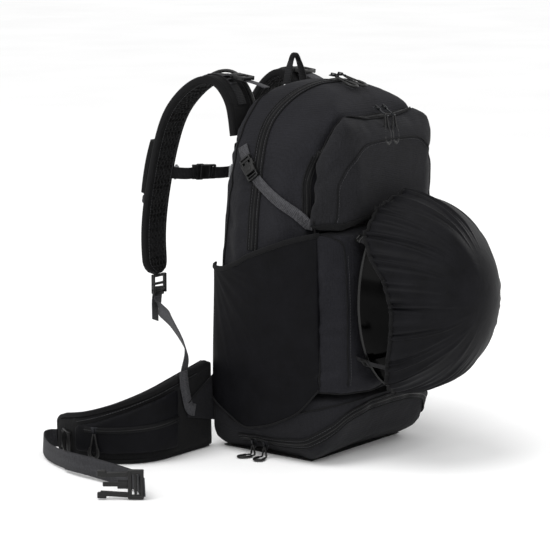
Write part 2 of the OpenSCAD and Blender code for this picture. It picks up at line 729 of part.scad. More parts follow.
lip_slope = atan2(0.02 * body_h, pocket_d - 27); // slope of the front pocket's top
front_zip_top = [front_y0 - 29, 0.925 * body_h - 4 * tan(lip_slope)];
front_rise = tape_t + gap + slider_t / 2;
front_slider_at = front_zip_top + front_rise * [-sin(lip_slope), cos(lip_slope)];
front_tongue = 11;
module front_slider(side) {
    color(metal) translate([side * slider_x, front_slider_at[0], front_slider_at[1]])
        rotate([lip_slope, 0, 0]) slider(front_tongue);
}
front_pull_reach = 4.5 + front_tongue + pull_gap;
front_pull_at = front_slider_at + front_pull_reach * [-cos(lip_slope), -sin(lip_slope)];
module front_pull(side) {
    color(plastic) translate([side * (slider_x + 1), front_pull_at[0], front_pull_at[1]]) rotate([84, 0, 0])
        pull(40);
}
module front_slider_left() front_slider(-1);
module front_slider_right() front_slider(1);
module front_pull_left() front_pull(-1);
module front_pull_right() front_pull(1);

base_slider_y = [12, -8]; // places of the base zip's two sliders
flank_slope = atan2(0.085 * half_w, 0.065 * body_h); // how the flank leans out above the floor
flank_z = 0.2 * base_h;
flank_x = 0.87 * half_w + (flank_z - 0.025 * body_h) * tan(flank_slope);
module base_slider(k) {
    rise = tape_t + gap + slider_t / 2 + 0.3;
    color(metal) translate([-flank_x - rise * cos(flank_slope), base_slider_y[k],
        flank_z - rise * sin(flank_slope)]) rotate([0, -90 - flank_slope, 0]) {
        cube([9, slider_l, slider_t], center = true);
        translate([-13.5, -4, -1.5]) cube([9, 8, pull_t]);
    }
}
module base_slider_left() base_slider(0);
module base_slider_right() base_slider(1);

fin_slider_z = 48;
fin_slider_a = -16; // where the closed slider stands on the fin's bend
module fin_slider() {
    r = fin_r + fin_t / 2 + 2 * gap + fin_pocket_t + slider_t / 2;
    translate([fin_bend[0] + r * cos(fin_slider_a), fin_bend[1] + r * sin(fin_slider_a), fin_slider_z])
        rotate([0, 0, fin_slider_a]) {
            cube([slider_t, slider_l, 9], center = true);
            translate([-pull_t / 2, -4, -36]) cube([pull_t, 8, 31.5]);
        }
}
module fin_slider_left() {
    color(metal) on_left() fin_slider();
}
module fin_slider_right() {
    color(metal) fin_slider();
}

// ---------- helmet and its carrier ----------
helmet_at = [0, front_y0 - stash_d - 14, 0.447 * body_h];
// Rings of a half ellipsoid from its crown to its rim, which ends at the angle rim.
function dome(a, b, c, rim, n, m) = [for (i = [0:m]) let (s = i == 0 ? 3 : min(rim, 90 * i / m))
    [for (j = [0:n - 1]) let (t = 360 * j / n)
        helmet_at + [a * sin(s) * cos(t), -b * cos(s), c * sin(s) * sin(t)]]];
module dome_shell(a, b, c, t, rim, n, m) {
    tube(concat(dome(a, b, c, rim, n, m), flip_list(dome(a - t, b - t, c - t, rim, n, m))));
}
hw = helmet_w / 2;
hl = helmet_l / 2;
cover_s = cover_t + gap;
cover_rim = 85;
module helmet_shell() {
    color([0.03, 0.03, 0.03]) dome_shell(hw, helmet_d, hl, shell_t, 90, 32, 9);
}
module helmet_liner() {
    s = shell_t + gap;
    color([0.12, 0.12, 0.12]) dome_shell(hw - s, helmet_d - s, hl - s, liner_t, 90, 32, 9);
}
module helmet_cover() {
    color([0.13, 0.13, 0.14])
        dome_shell(hw + cover_s, helmet_d + cover_s, hl + cover_s, cover_t, cover_rim, 32, 9);
}
// Four hooks run from the stash pocket's face to the cover's hem.
hook_t = 3;
hook_a = 38; // angle of a hook round the hem, from level
module cover_hooks() {
    hem_y = helmet_at[1] - (helmet_d + cover_s) * cos(cover_rim) + gap;
    a = hw + cover_s;
    c = hl + cover_s;
    lean = atan2(sin(hook_a) / c, cos(hook_a) / a);
    color(plastic) both_sides() for (up = [-1, 1]) difference() {
        translate([a * cos(hook_a), hem_y, helmet_at[2] + up * c * sin(hook_a)]) rotate([0, -up * lean, 0])
            translate([-0.8, 0, -4]) cube([hook_t, 50, 8]);
        envelope(-gap, stash_side(-gap));
        translate([-200, front_y0 - 40, 0]) cube([400, 200, 600]);
    }
}

main_compartment();
base_compartment();
base_patch();
front_pocket();
stash_pocket();
side_pocket_left();
side_pocket_right();
back_pads();
frame_sheet();
frame_stays();
airbag_folded();
gas_cylinder();
inflator_head();
cylinder_bracket();
trigger_cable_pack();
main_zip();
front_zip();
base_zip();
lower_wings();
compression_webbing();
compression_buckles();
haul_loop();
strap_left();
strap_right();
lifter_webbing();
strap_ladder_locks();
lower_webbing();
sternum_webbing();
sternum_buckle();
lifter_locks();
trigger_garage();
trigger_cable_strap();
trigger_handle();
fin_left();
fin_right();
fin_pocket_left();
fin_pocket_right();
fin_lock_left();
fin_lock_right();
belt_webbing_left();
belt_webbing_right();
buckle_male();
buckle_female();
main_slider_left();
main_slider_right();
main_pull_left();
main_pull_right();
front_slider_left();
front_slider_right();
front_pull_left();
front_pull_right();
base_slider_left();
base_slider_right();
fin_slider_left();
fin_slider_right();
helmet_cover();
cover_hooks();
helmet_shell();
helmet_liner();
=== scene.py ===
"""Ski touring backpack with an airbag system inside and a helmet held in a stretch carrier.

The CAD nodes are the frame. Each class below models one sub-assembly round them, in metres.
"""
import json
import logging
import math
import random
from dataclasses import dataclass, field
from enum import Enum
from typing import Callable, Sequence

import bmesh
import bpy
from mathutils import Matrix, Vector
from mathutils.bvhtree import BVHTree

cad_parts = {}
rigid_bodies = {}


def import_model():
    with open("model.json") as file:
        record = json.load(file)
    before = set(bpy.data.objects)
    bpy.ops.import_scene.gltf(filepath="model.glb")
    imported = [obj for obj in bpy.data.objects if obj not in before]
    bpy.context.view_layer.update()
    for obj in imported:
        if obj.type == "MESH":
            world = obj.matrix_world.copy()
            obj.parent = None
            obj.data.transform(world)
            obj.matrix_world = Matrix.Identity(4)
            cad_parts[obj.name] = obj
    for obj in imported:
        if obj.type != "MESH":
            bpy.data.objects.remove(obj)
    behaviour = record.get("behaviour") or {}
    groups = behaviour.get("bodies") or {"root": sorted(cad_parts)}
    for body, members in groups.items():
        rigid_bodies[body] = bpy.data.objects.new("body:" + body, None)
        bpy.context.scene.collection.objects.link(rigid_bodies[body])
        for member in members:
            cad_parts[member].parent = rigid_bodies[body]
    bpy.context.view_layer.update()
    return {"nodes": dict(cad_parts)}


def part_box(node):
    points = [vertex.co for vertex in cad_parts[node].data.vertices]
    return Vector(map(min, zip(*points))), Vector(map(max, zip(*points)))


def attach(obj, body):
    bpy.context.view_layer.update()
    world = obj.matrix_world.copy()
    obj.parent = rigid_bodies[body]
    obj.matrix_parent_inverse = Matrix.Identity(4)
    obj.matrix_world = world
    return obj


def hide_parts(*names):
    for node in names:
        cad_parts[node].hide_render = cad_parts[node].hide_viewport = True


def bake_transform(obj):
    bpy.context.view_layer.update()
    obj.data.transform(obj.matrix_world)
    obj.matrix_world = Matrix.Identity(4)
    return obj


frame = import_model()
LOG = logging.getLogger("pack")
MM = 0.001
Point = tuple[float, float, float]
MOULDED_EDGE, WEBBING_EDGE, CLOTH_EDGE = 35, 50, 60  # degrees above which an edge is shaded sharp


# ---------- small tools ----------
class Side(Enum):
    """The wearer's side that a piece is on, as the sign of X."""

    LEFT = -1
    RIGHT = 1

    @property
    def word(self) -> str:
        """The side's name, as node names end in it."""
        return self.name.lower()


def mm(x: float, y: float, z: float) -> Vector:
    """A point given in millimetres, in metres."""
    return Vector((x, y, z)) * MM


def points_mm(points: Sequence[Point], side: Side = Side.LEFT) -> list[Vector]:
    """Points in millimetres given for the left side, in metres, mirrored for the right side."""
    flip = 1 if side is Side.LEFT else -1
    return [mm(flip * x, y, z) for x, y, z in points]


def bell(offset: float, width: float) -> float:
    """A bump of height 1 that fades on both sides of its middle."""
    return math.exp(-(offset / width) ** 2)


def smooth_step(share: float) -> float:
    """A share from 0 to 1, eased at both ends."""
    return share * share * (3 - 2 * share)


def wrapped(angle: float) -> float:
    """The same angle, from minus half a turn to half a turn, in radians."""
    return math.atan2(math.sin(angle), math.cos(angle))


def pick(*objects: bpy.types.Object) -> None:
    """Selects only these objects, and makes the first one active.

    Args:
        *objects: The objects, the active one first.
    """
    bpy.ops.object.select_all(action="DESELECT")
    for item in objects:
        item.select_set(True)
    bpy.context.view_layer.objects.active = objects[0]


def modify(obj: bpy.types.Object, kind: str, **settings: object) -> None:
    """Adds a modifier of that kind with these settings, and applies it.

    Args:
        obj: The mesh that changes.
        kind: The modifier's type.
        **settings: The modifier's properties and their values.
    """
    pick(obj)
    bpy.ops.object.modifier_add(type=kind)
    modifier = obj.modifiers[-1]
    for key, value in settings.items():
        setattr(modifier, key, value)
    bpy.ops.object.modifier_apply(modifier=modifier.name)


def smooth(obj: bpy.types.Object, angle: float = 40.0) -> None:
    """Shades a piece smooth, apart from edges sharper than the angle in degrees."""
    pick(obj)
    bpy.ops.object.shade_smooth_by_angle(angle=math.radians(angle))


def shade_all(obj: bpy.types.Object) -> None:
    """Shades every face of a piece smooth."""
    for polygon in obj.data.polygons:
        polygon.use_smooth = True


def tidy_mesh(obj: bpy.types.Object, cap: bool = True, merge: float = 1e-5) -> None:
    """Merges doubles, closes open ends if asked, and turns the faces outwards.

    Args:
        obj: The mesh that changes.
        cap: Whether open ends are closed.
        merge: The distance under which vertices merge, in metres.
    """
    pick(obj)
    bpy.ops.object.mode_set(mode="EDIT")
    bpy.ops.mesh.select_all(action="SELECT")
    bpy.ops.mesh.remove_doubles(threshold=merge)
    if cap:
        bpy.ops.mesh.fill_holes(sides=0)
    bpy.ops.mesh.select_all(action="SELECT")
    bpy.ops.mesh.normals_make_consistent(inside=False)
    bpy.ops.object.mode_set(mode="OBJECT")


def join(name: str, parts: Sequence[bpy.types.Object]) -> bpy.types.Object:
    """Joins meshes into one piece with that name.

    Args:
        name: The piece's name.
        parts: The meshes, which the call uses up.

    Returns:
        The joined object.
    """
    pick(*parts)
    if len(parts) > 1:
        bpy.ops.object.join()
    obj = bpy.context.view_layer.objects.active
    obj.name = name
    obj.data.name = name
    return obj


def grid(name: str, nu: int, nv: int, place: Callable[[float, float], Vector]) -> bpy.types.Object:
    """Makes a grid primitive and moves each vertex to its place.

    Args:
        name: The piece's name.
        nu: Faces along u.
        nv: Faces along v.
        place: Gives the point for (u, v), each from 0 to 1.

    Returns:
        The new object.
    """
    bpy.ops.object.select_all(action="DESELECT")
    bpy.ops.mesh.primitive_grid_add(x_subdivisions=nu, y_subdivisions=nv, size=1.0)
    obj = bpy.context.view_layer.objects.active
    obj.name = name
    for vertex in obj.data.vertices:
        vertex.co = place(vertex.co.x + 0.5, vertex.co.y + 0.5)
    return obj


def curve_through(points: Sequence[Vector], step: float) -> list[Vector]:
    """A smooth curve through the points, resampled at about one point per step.

    Args:
        points: The points that it passes, in metres.
        step: The spacing of the new points, in metres.

    Returns:
        The new points, both ends included.
    """
    rough = []
    last = len(points) - 1
    for i in range(last):
        a, b, c, d = (points[max(i - 1, 0)], points[i], points[i + 1], points[min(i + 2, last)])
        for k in range(12):
            t = k / 12
            rough.append(0.5 * (2 * b + (c - a) * t + (2 * a - 5 * b + 4 * c - d) * t * t
                                + (3 * b - a - 3 * c + d) * t ** 3))
    rough.append(points[last])
    run = [0.0]
    for a, b in zip(rough, rough[1:]):
        run.append(run[-1] + (b - a).length)
    count = max(1, round(run[-1] / step))
    out = []
    j = 0
    for i in range(count + 1):
        s = run[-1] * i / count
        while j < len(run) - 2 and run[j + 1] < s:
            j += 1
        span = run[j + 1] - run[j]
        out.append(rough[j].lerp(rough[j + 1], (s - run[j]) / span if span > 1e-9 else 0.0))
    return out


def tangents(path: Sequence[Vector], closed: bool = False) -> list[Vector]:
    """The unit direction along a path at each point.

    Args:
        path: The points.
        closed: Whether the path is a loop.

    Returns:
        One direction for each point.
    """
    n = len(path)
    out = []
    for i in range(n):
        a = path[i - 1] if i or closed else path[0]
        b = path[(i + 1) % n] if i < n - 1 or closed else path[-1]
        out.append((b - a).normalized())
    return out


def sweep(name: str, path: Sequence[Vector], ups: Sequence[Vector] | Vector,
          outline: Sequence[tuple[float, float]], closed: bool = False,
          scales: Sequence[float] | None = None) -> bpy.types.Object:
    """Sweeps a closed outline along a path.

    Args:
        name: The piece's name.
        path: Centre points.
        ups: The direction of the outline's second axis, one for all points or one each.
        outline: Points (across, up) of the section, in metres.
        closed: Whether the path is a loop.
        scales: Width scale at each point.

    Returns:
        The new, closed mesh object, with a UV map in metres along and round it.
    """
    directions = tangents(path, closed)
    count = len(path)
    many = [ups] * count if isinstance(ups, Vector) else ups
    rows = count if closed else count - 1
    wide = len(outline)
    frames = []
    for i in range(count):
        across = directions[i].cross(many[i]).normalized()
        frames.append((across, across.cross(directions[i]).normalized()))

    def place(u: float, v: float) -> Vector:
        """The point of the section at u round it and v along the path.

        Args:
            u: The share of the way round the section.
            v: The share of the way along the path.

        Returns:
            The point, in metres.
        """
        i = round(v * rows) % count
        a, b = outline[round(u * wide) % wide]
        scale = scales[i] if scales else 1.0
        return path[i] + frames[i][0] * (a * scale) + frames[i][1] * b

    obj = grid(name, wide, rows, place)
    length = sum((b - a).length for a, b in zip(path, path[1:]))
    girth = sum(math.dist(outline[i], outline[i - 1]) for i in range(wide))
    for loop in obj.data.uv_layers[0].data:
        loop.uv = (loop.uv[0] * girth, loop.uv[1] * length)
    tidy_mesh(obj)
    return obj


def flat_section(width: float, thick: float, round_off: float = 0.5, n: int = 3) -> list[tuple[float, float]]:
    """A flat outline with rounded corners.

    Args:
        width: Size across.
        thick: Size up.
        round_off: Corner radius as a share of the thickness, up to 0.5.
        n: Points per corner.

    Returns:
        The outline's points.
    """
    r = thick * round_off
    out = []
    for k, (cx, cy) in enumerate(((1, 1), (-1, 1), (-1, -1), (1, -1))):
        for i in range(n):
            a = math.radians(90 * k + 90 * i / max(n - 1, 1))
            out.append((cx * (width / 2 - r) + r * math.cos(a), cy * (thick / 2 - r) + r * math.sin(a)))
    return out


NARROW_WEB = flat_section(17 * MM, 1.7 * MM)


def round_section(radius: float, n: int = 8) -> list[tuple[float, float]]:
    """A round outline."""
    return [(radius * math.cos(2 * math.pi * i / n), radius * math.sin(2 * math.pi * i / n))
            for i in range(n)]


class Skin:
    """The outer surface of some pieces, which trims are laid on."""

    def __init__(self, *pieces: bpy.types.Object) -> None:
        """Builds a search tree of the pieces' faces.

        Args:
            *pieces: The meshes whose surfaces it lays things on.
        """
        corners: list[Vector] = []
        faces: list[list[int]] = []
        for piece in pieces:
            base = len(corners)
            corners.extend(v.co.copy() for v in piece.data.vertices)
            faces.extend([base + i for i in p.vertices] for p in piece.data.polygons)
        self.tree = BVHTree.FromPolygons(corners, faces)

    def lay(self, path: Sequence[Vector], lift: float, ease: int = 3) -> tuple[list[Vector], list[Vector]]:
        """Lays a path on the surface.

        Args:
            path: Points near the surface.
            lift: How far the path lies off the surface.
            ease: How many neighbours each normal and height is averaged over.

        Returns:
            The points on the surface and the surface's directions there.
        """
        spots, normals = [], []
        for p in path:
            spot, normal, _, _ = self.tree.find_nearest(p)
            spots.append(spot)
            normals.append(normal)
        n = len(path)
        eased = []
        for i in range(n):
            around = range(max(0, i - ease), min(n, i + ease + 1))
            eased.append(sum((normals[k] for k in around), Vector()).normalized())
        return [s + m * lift for s, m in zip(spots, eased)], eased


# ---------- finishes ----------
def linear(code: str) -> tuple[float, float, float, float]:
    """The linear colour of an sRGB hex code."""
    parts = [int(code[i:i + 2], 16) / 255 for i in (0, 2, 4)]
    return (*(c / 12.92 if c <= 0.04045 else ((c + 0.055) / 1.055) ** 2.4 for c in parts), 1.0)


def connect(tree: bpy.types.NodeTree, node: bpy.types.Node, **links: object) -> None:
    """Links or sets a node's inputs.

    Args:
        tree: The node tree.
        node: The node.
        **links: Inputs by name, with _ for a space, or in0, in1 by number. A socket is linked and
            anything else is set.
    """
    for key, value in links.items():
        numbered = key[:2] == "in" and key[2:].isdigit()
        socket = node.inputs[int(key[2:]) if numbered else key.replace("_", " ")]
        if isinstance(value, bpy.types.NodeSocket):
            tree.links.new(value, socket)
        else:
            socket.default_value = value


def add_node(tree: bpy.types.NodeTree, kind: str, settings: dict[str, object] | None = None,
             **links: object) -> bpy.types.Node:
    """Adds a node to a material.

    Args:
        tree: The node tree.
        kind: The node's type, without its ShaderNode prefix.
        settings: The node's own properties.
        **links: Its inputs, as connect() takes them.

    Returns:
        The new node.
    """
    node = tree.nodes.new("ShaderNode" + kind)
    for key, value in (settings or {}).items():
        setattr(node, key, value)
    connect(tree, node, **links)
    return node


def blank(name: str) -> tuple[bpy.types.Material, bpy.types.NodeTree, bpy.types.Node, bpy.types.Node]:
    """A new material with its shader and its texture coordinates.

    Args:
        name: The material's name.

    Returns:
        The material, its tree, its shader and its coordinate node.
    """
    material = bpy.data.materials.new(name)
    material.use_nodes = True
    tree = material.node_tree
    tree.nodes.clear()
    shader = add_node(tree, "BsdfPrincipled")
    add_node(tree, "OutputMaterial", Surface=shader.outputs[0])
    return material, tree, shader, add_node(tree, "TexCoord")


def ramp(tree: bpy.types.NodeTree, factor: bpy.types.NodeSocket, low: str, high: str,
         start: float = 0.3, end: float = 0.7) -> bpy.types.NodeSocket:
    """A colour that runs from one hex code to another as the factor rises.

    Args:
        tree: The material's tree.
        factor: The value that drives it.
        low: The hex code at its start.
        high: The hex code at its end.
        start: The factor where it leaves the first colour.
        end: The factor where it reaches the second colour.

    Returns:
        The colour.
    """
    node = add_node(tree, "ValToRGB", Fac=factor)
    node.color_ramp.elements[0].position = start
    node.color_ramp.elements[0].color = linear(low)
    node.color_ramp.elements[1].position = end
    node.color_ramp.elements[1].color = linear(high)
    return node.outputs[0]


@dataclass(frozen=True)
class WovenNylon:
    """Plain-woven nylon pack cloth: heathered yarn, fine ribs, a soft sheen at glancing angles."""

    name: str
    dark: str
    light: str
    thread_mm: float = 2.2  # real yarn is about 0.6 mm apart, drawn coarser so that it shows
    weave: float = 0.35
    crease: float = 0.5
    crease_mm: float = 55.0
    rough: float = 0.85
    sheen: float = 0.03

    def make(self) -> bpy.types.Material:
        """Builds the material.

        Returns:
            The new material.
        """
        material, tree, shader, where = blank(self.name)
        at = where.outputs["Object"]
        waves = []
        for axis in "XYZ":
            wave = add_node(tree, "TexWave", {"wave_type": "BANDS", "bands_direction": axis},
                            Vector=at, Scale=1000 * math.pi / 20 / self.thread_mm * 2, Distortion=0.6,
                            Detail=1.0, Detail_Scale=2.0)
            waves.append(wave.outputs["Fac"])
        first = add_node(tree, "Math", {"operation": "ADD"}, in0=waves[0], in1=waves[1])
        weave = add_node(tree, "Math", {"operation": "ADD"}, in0=first.outputs[0], in1=waves[2])
        yarn = add_node(tree, "TexNoise", Vector=at, Scale=620.0, Detail=3.0, Roughness=0.7)
        worn = add_node(tree, "TexNoise", Vector=at, Scale=14.0, Detail=4.0, Roughness=0.6)
        blend = add_node(tree, "Math", {"operation": "MULTIPLY_ADD"}, in0=worn.outputs["Fac"],
                         in1=0.45, in2=yarn.outputs["Fac"])
        shade = add_node(tree, "Math", {"operation": "MULTIPLY_ADD"}, in0=weave.outputs[0],
                         in1=0.05, in2=blend.outputs[0])
        colour = ramp(tree, shade.outputs[0], self.dark, self.light, 0.56, 1.02)
        folds = add_node(tree, "TexNoise", Vector=at, Scale=1000 / self.crease_mm, Detail=3.0,
                         Roughness=0.55, Distortion=0.4)
        soft = add_node(tree, "Bump", Strength=self.crease, Distance=0.004, Height=folds.outputs["Fac"])
        fine = add_node(tree, "Bump", Strength=self.weave, Distance=0.00035,
                        Height=weave.outputs[0], Normal=soft.outputs[0])
        rough = add_node(tree, "MapRange", Value=yarn.outputs["Fac"], To_Min=self.rough - 0.08,
                         To_Max=self.rough + 0.08)
        connect(tree, shader, Base_Color=colour, Normal=fine.outputs[0], Roughness=rough.outputs[0],
                Sheen_Weight=self.sheen, Sheen_Roughness=0.5, Specular_IOR_Level=0.1)
        return material


@dataclass(frozen=True)
class StretchKnit:
    """Smooth knitted elastane jersey: fine columns of stitches, a faint satin gloss along folds."""

    name: str
    dark: str
    light: str
    rough: float = 0.62
    sheen: float = 0.02
    knit: float = 0.2

    def make(self) -> bpy.types.Material:
        """Builds the material.

        Returns:
            The new material.
        """
        material, tree, shader, where = blank(self.name)
        at = where.outputs["Object"]
        knit = add_node(tree, "TexVoronoi", {"feature": "DISTANCE_TO_EDGE"}, Vector=at, Scale=520.0)
        tone = add_node(tree, "TexNoise", Vector=at, Scale=30.0, Detail=5.0, Roughness=0.65)
        colour = ramp(tree, tone.outputs["Fac"], self.dark, self.light)
        slack = add_node(tree, "TexNoise", Vector=at, Scale=38.0, Detail=2.0, Distortion=0.8)
        soft = add_node(tree, "Bump", Strength=0.25, Distance=0.003, Height=slack.outputs["Fac"])
        fine = add_node(tree, "Bump", Strength=self.knit, Distance=0.0003,
                        Height=knit.outputs["Distance"], Normal=soft.outputs[0])
        rough = add_node(tree, "MapRange", Value=tone.outputs["Fac"], To_Min=self.rough - 0.1,
                         To_Max=self.rough + 0.1)
        connect(tree, shader, Base_Color=colour, Normal=fine.outputs[0], Roughness=rough.outputs[0],
                Sheen_Weight=self.sheen, Specular_IOR_Level=0.08)
        return material


@dataclass(frozen=True)
class SpacerMesh:
    """Knitted spacer mesh over foam: a honeycomb of holes between raised soft cords, with painted shade in
    the holes.
    """

    name: str
    # dark is painted shade for the middles of the holes; light is the cords' own colour
    dark: str
    light: str
    cell_mm: float = 7.0

    def make(self) -> bpy.types.Material:
        """Builds the material.

        Returns:
            The new material.
        """
        material, tree, shader, where = blank(self.name)
        at = where.outputs["Object"]
        cells = add_node(tree, "TexVoronoi", {"feature": "DISTANCE_TO_EDGE"}, Vector=at,
                         Scale=1000 / self.cell_mm, Randomness=0.35)
        fuzz = add_node(tree, "TexNoise", Vector=at, Scale=900.0, Detail=3.0)
        hole_shade_mask = add_node(tree, "Math", {"operation": "MULTIPLY_ADD"}, in0=fuzz.outputs["Fac"],
                         in1=0.12, in2=cells.outputs["Distance"])
        # painted shade: the colour darkens from the cords towards the middle of each hole
        colour = ramp(tree, hole_shade_mask.outputs[0], self.light, self.dark, 0.1, 0.32)
        dip = add_node(tree, "MapRange", Value=cells.outputs["Distance"], From_Max=0.3, To_Min=1.0,
                       To_Max=0.0)
        bump = add_node(tree, "Bump", Strength=0.9, Distance=0.0016, Height=dip.outputs[0])
        connect(tree, shader, Base_Color=colour, Normal=bump.outputs[0], Roughness=0.85,
                Sheen_Weight=0.02, Specular_IOR_Level=0.1)
        return material


@dataclass(frozen=True)
class WovenWebbing:
    """Flat woven polyester webbing: cross ribs, firm edges and a dull yarn gloss."""

    name: str
    dark: str
    light: str
    rib_mm: float = 2.4  # real ribs are about 1.2 mm apart, drawn coarser so that they show

    def make(self) -> bpy.types.Material:
        """Builds the material, which reads the piece's own UV map in metres.

        Returns:
            The new material.
        """
        material, tree, shader, where = blank(self.name)
        along = where.outputs["UV"]
        scale = 1000 * math.pi / 20 / self.rib_mm * 2
        ribs = add_node(tree, "TexWave", {"wave_type": "BANDS", "bands_direction": "Y"}, Vector=along,
                        Scale=scale, Distortion=0.4)
        rows = add_node(tree, "TexWave", {"wave_type": "BANDS", "bands_direction": "X"}, Vector=along,
                        Scale=scale * 0.8, Distortion=0.4)
        weave = add_node(tree, "Math", {"operation": "MULTIPLY_ADD"}, in0=rows.outputs["Fac"], in1=0.5,
                         in2=ribs.outputs["Fac"])
        yarn = add_node(tree, "TexNoise", Vector=where.outputs["Object"], Scale=400.0, Detail=3.0)
        shade = add_node(tree, "Math", {"operation": "MULTIPLY_ADD"}, in0=weave.outputs[0], in1=0.3,
                         in2=yarn.outputs["Fac"])
        colour = ramp(tree, shade.outputs[0], self.dark, self.light, 0.4, 1.0)
        bump = add_node(tree, "Bump", Strength=0.7, Distance=0.0005, Height=weave.outputs[0])
        connect(tree, shader, Base_Color=colour, Normal=bump.outputs[0], Roughness=0.72,
                Sheen_Weight=0.03, Specular_IOR_Level=0.15)
        return material


@dataclass(frozen=True)
class Moulded:
    """Injection-moulded plastic: a fine spark-eroded grain, and paler rubbed edges."""

    name: str
    dark: str
    light: str
    rough: float = 0.42
    grain: float = 0.25
    coat: float = 0.0
    shine: float = 0.35

    def make(self) -> bpy.types.Material:
        """Builds the material.

        Returns:
            The new material.
        """
        material, tree, shader, where = blank(self.name)
        at = where.outputs["Object"]
        grain = add_node(tree, "TexNoise", Vector=at, Scale=1500.0, Detail=2.0)
        worn = add_node(tree, "TexNoise", Vector=at, Scale=60.0, Detail=5.0, Roughness=0.7)
        colour = ramp(tree, worn.outputs["Fac"], self.dark, self.light, 0.35, 0.75)
        rough = add_node(tree, "MapRange", Value=worn.outputs["Fac"], To_Min=self.rough - 0.07,
                         To_Max=self.rough + 0.1)
        bump = add_node(tree, "Bump", Strength=self.grain, Distance=0.0002, Height=grain.outputs["Fac"])
        connect(tree, shader, Base_Color=colour, Normal=bump.outputs[0], Roughness=rough.outputs[0],
                Coat_Weight=self.coat, Coat_Roughness=0.04, Specular_IOR_Level=self.shine)
        return material


@dataclass(frozen=True)
class CastMetal:
    """Tumbled and plated die-cast metal, or drawn aluminium: fine scratches in a soft mirror."""

    name: str
    dark: str
    light: str
    rough: float = 0.25

    def make(self) -> bpy.types.Material:
        """Builds the material.

        Returns:
            The new material.
        """
        material, tree, shader, where = blank(self.name)
        at = where.outputs["Object"]
        scratch = add_node(tree, "TexNoise", Vector=at, Scale=900.0, Detail=4.0, Distortion=1.5)
        tone = add_node(tree, "TexNoise", Vector=at, Scale=90.0, Detail=3.0)
        colour = ramp(tree, tone.outputs["Fac"], self.dark, self.light)
        rough = add_node(tree, "MapRange", Value=scratch.outputs["Fac"], To_Min=self.rough - 0.08,
                         To_Max=self.rough + 0.15)
        bump = add_node(tree, "Bump", Strength=0.15, Distance=0.0001, Height=scratch.outputs["Fac"])
        connect(tree, shader, Base_Color=colour, Normal=bump.outputs[0], Roughness=rough.outputs[0],
                Metallic=1.0)
        return material


class Finish(Enum):
    """The finishes of the pack, one material each."""

    BODY = WovenNylon("body_nylon", "141416", "232327")
    BORDER = WovenNylon("heather_nylon", "131314", "232326", thread_mm=2.6)
    LOWER = WovenNylon("base_nylon", "121214", "1f1f22", crease=0.7)
    GUSSET = WovenNylon("gusset_nylon", "131316", "202024", crease=0.7, crease_mm=40.0)
    LINING = WovenNylon("binding_tape", "0d0d0e", "161617", thread_mm=1.8, crease=0.1)
    SIDE = StretchKnit("pocket_jersey", "070709", "0e0e11", sheen=0.0)
    COVER = StretchKnit("carrier_jersey", "0a0a0c", "131316", rough=0.55)
    # 050505 is painted shade in the holes; 1a1a1b is the cords' own colour
    MESH = SpacerMesh("spacer_mesh", "050505", "1a1a1b")
    FACING = WovenNylon("strap_facing", "0c0c0d", "171718", thread_mm=1.8, crease=0.2)
    WEBBING = WovenWebbing("grey_webbing", "2b2b2d", "47474a")
    BELT = WovenWebbing("belt_webbing", "222224", "38383b")
    DARK_WEB = WovenWebbing("dark_webbing", "131314", "202022")
    ZIP = Moulded("coated_zip", "070708", "0f0f11", rough=0.55, shine=0.12)
    ACETAL = Moulded("moulded_acetal", "090909", "141414", rough=0.38)
    GREY_CLIP = Moulded("grey_acetal", "8a8b8d", "a2a3a5", rough=0.45)
    THREAD = Moulded("sewing_thread", "2b2b2d", "48484b", rough=0.7)
    SLIDER = CastMetal("plated_slider", "1b1b1d", "3a3b3e", rough=0.34)
    ALLOY = CastMetal("drawn_aluminium", "a8abae", "cdd0d3", rough=0.3)
    GLOSS = Moulded("glossy_shell", "010101", "030303", rough=0.12, grain=0.0, shine=0.05)
    FOAM = Moulded("moulded_foam", "101011", "1c1c1e", rough=0.9, grain=0.8)
    AIRBAG = WovenNylon("airbag_nylon", "8f2409", "b8350f", crease=0.9, crease_mm=30.0)
    TRIGGER = Moulded("trigger_grip", "141416", "26262a", rough=0.45)
    SHEET = Moulded("sheet_polythene", "2c2d30", "3c3d40", rough=0.5)


class Wardrobe:
    """Makes each finish once and puts it on pieces."""

    def __init__(self) -> None:
        """Starts with no material made."""
        self.made: dict[Finish, bpy.types.Material] = {}

    def get(self, finish: Finish) -> bpy.types.Material:
        """The material of a finish, made on first use.

        Args:
            finish: The finish.

        Returns:
            Its material.
        """
        if finish not in self.made:
            self.made[finish] = finish.value.make()
        return self.made[finish]

    def dress(self, obj: bpy.types.Object, *finishes: Finish) -> bpy.types.Object:
        """Puts the finishes in a piece's material slots.

        Args:
            obj: The piece.
            *finishes: The finishes, one for each slot.

        Returns:
            The same piece.
        """
        obj.data.materials.clear()
        for finish in finishes:
            obj.data.materials.append(self.get(finish))
        return obj


WARDROBE = Wardrobe()


def fit(obj: bpy.types.Object, body: str, slot: str, *finishes: Finish,
        stands_for: Sequence[str] = ()) -> bpy.types.Object:
    """Dresses a finished piece and hands it to the frame.

    Args:
        obj: The piece.
        body: The CAD body that it rides on.
        slot: The record's material slot; not used.
        *finishes: Its finishes, in slot order.
        stands_for: The CAD nodes that it replaces.

    Returns:
        The same piece.
    """
    WARDROBE.dress(obj, *finishes)
    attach(obj, body)
    if stands_for:
        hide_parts(*stands_for)
    LOG.info("%s rides on %s", obj.name, body)
    return obj


# ---------- soft shells ----------
@dataclass
class Stuffing:
    """How a soft shell is made from the closed solid that holds its place."""

    voxel: float = 5.0 * MM
    shrink: float = 1.5 * MM
    rounding: int = 14  # smoothing passes before the cloth is blown up
    pressure: float = 4.0
    cap: float = 7.0 * MM
    grow: int = 1  # subdivisions after the simulation
    floor: float = 1.2 * MM


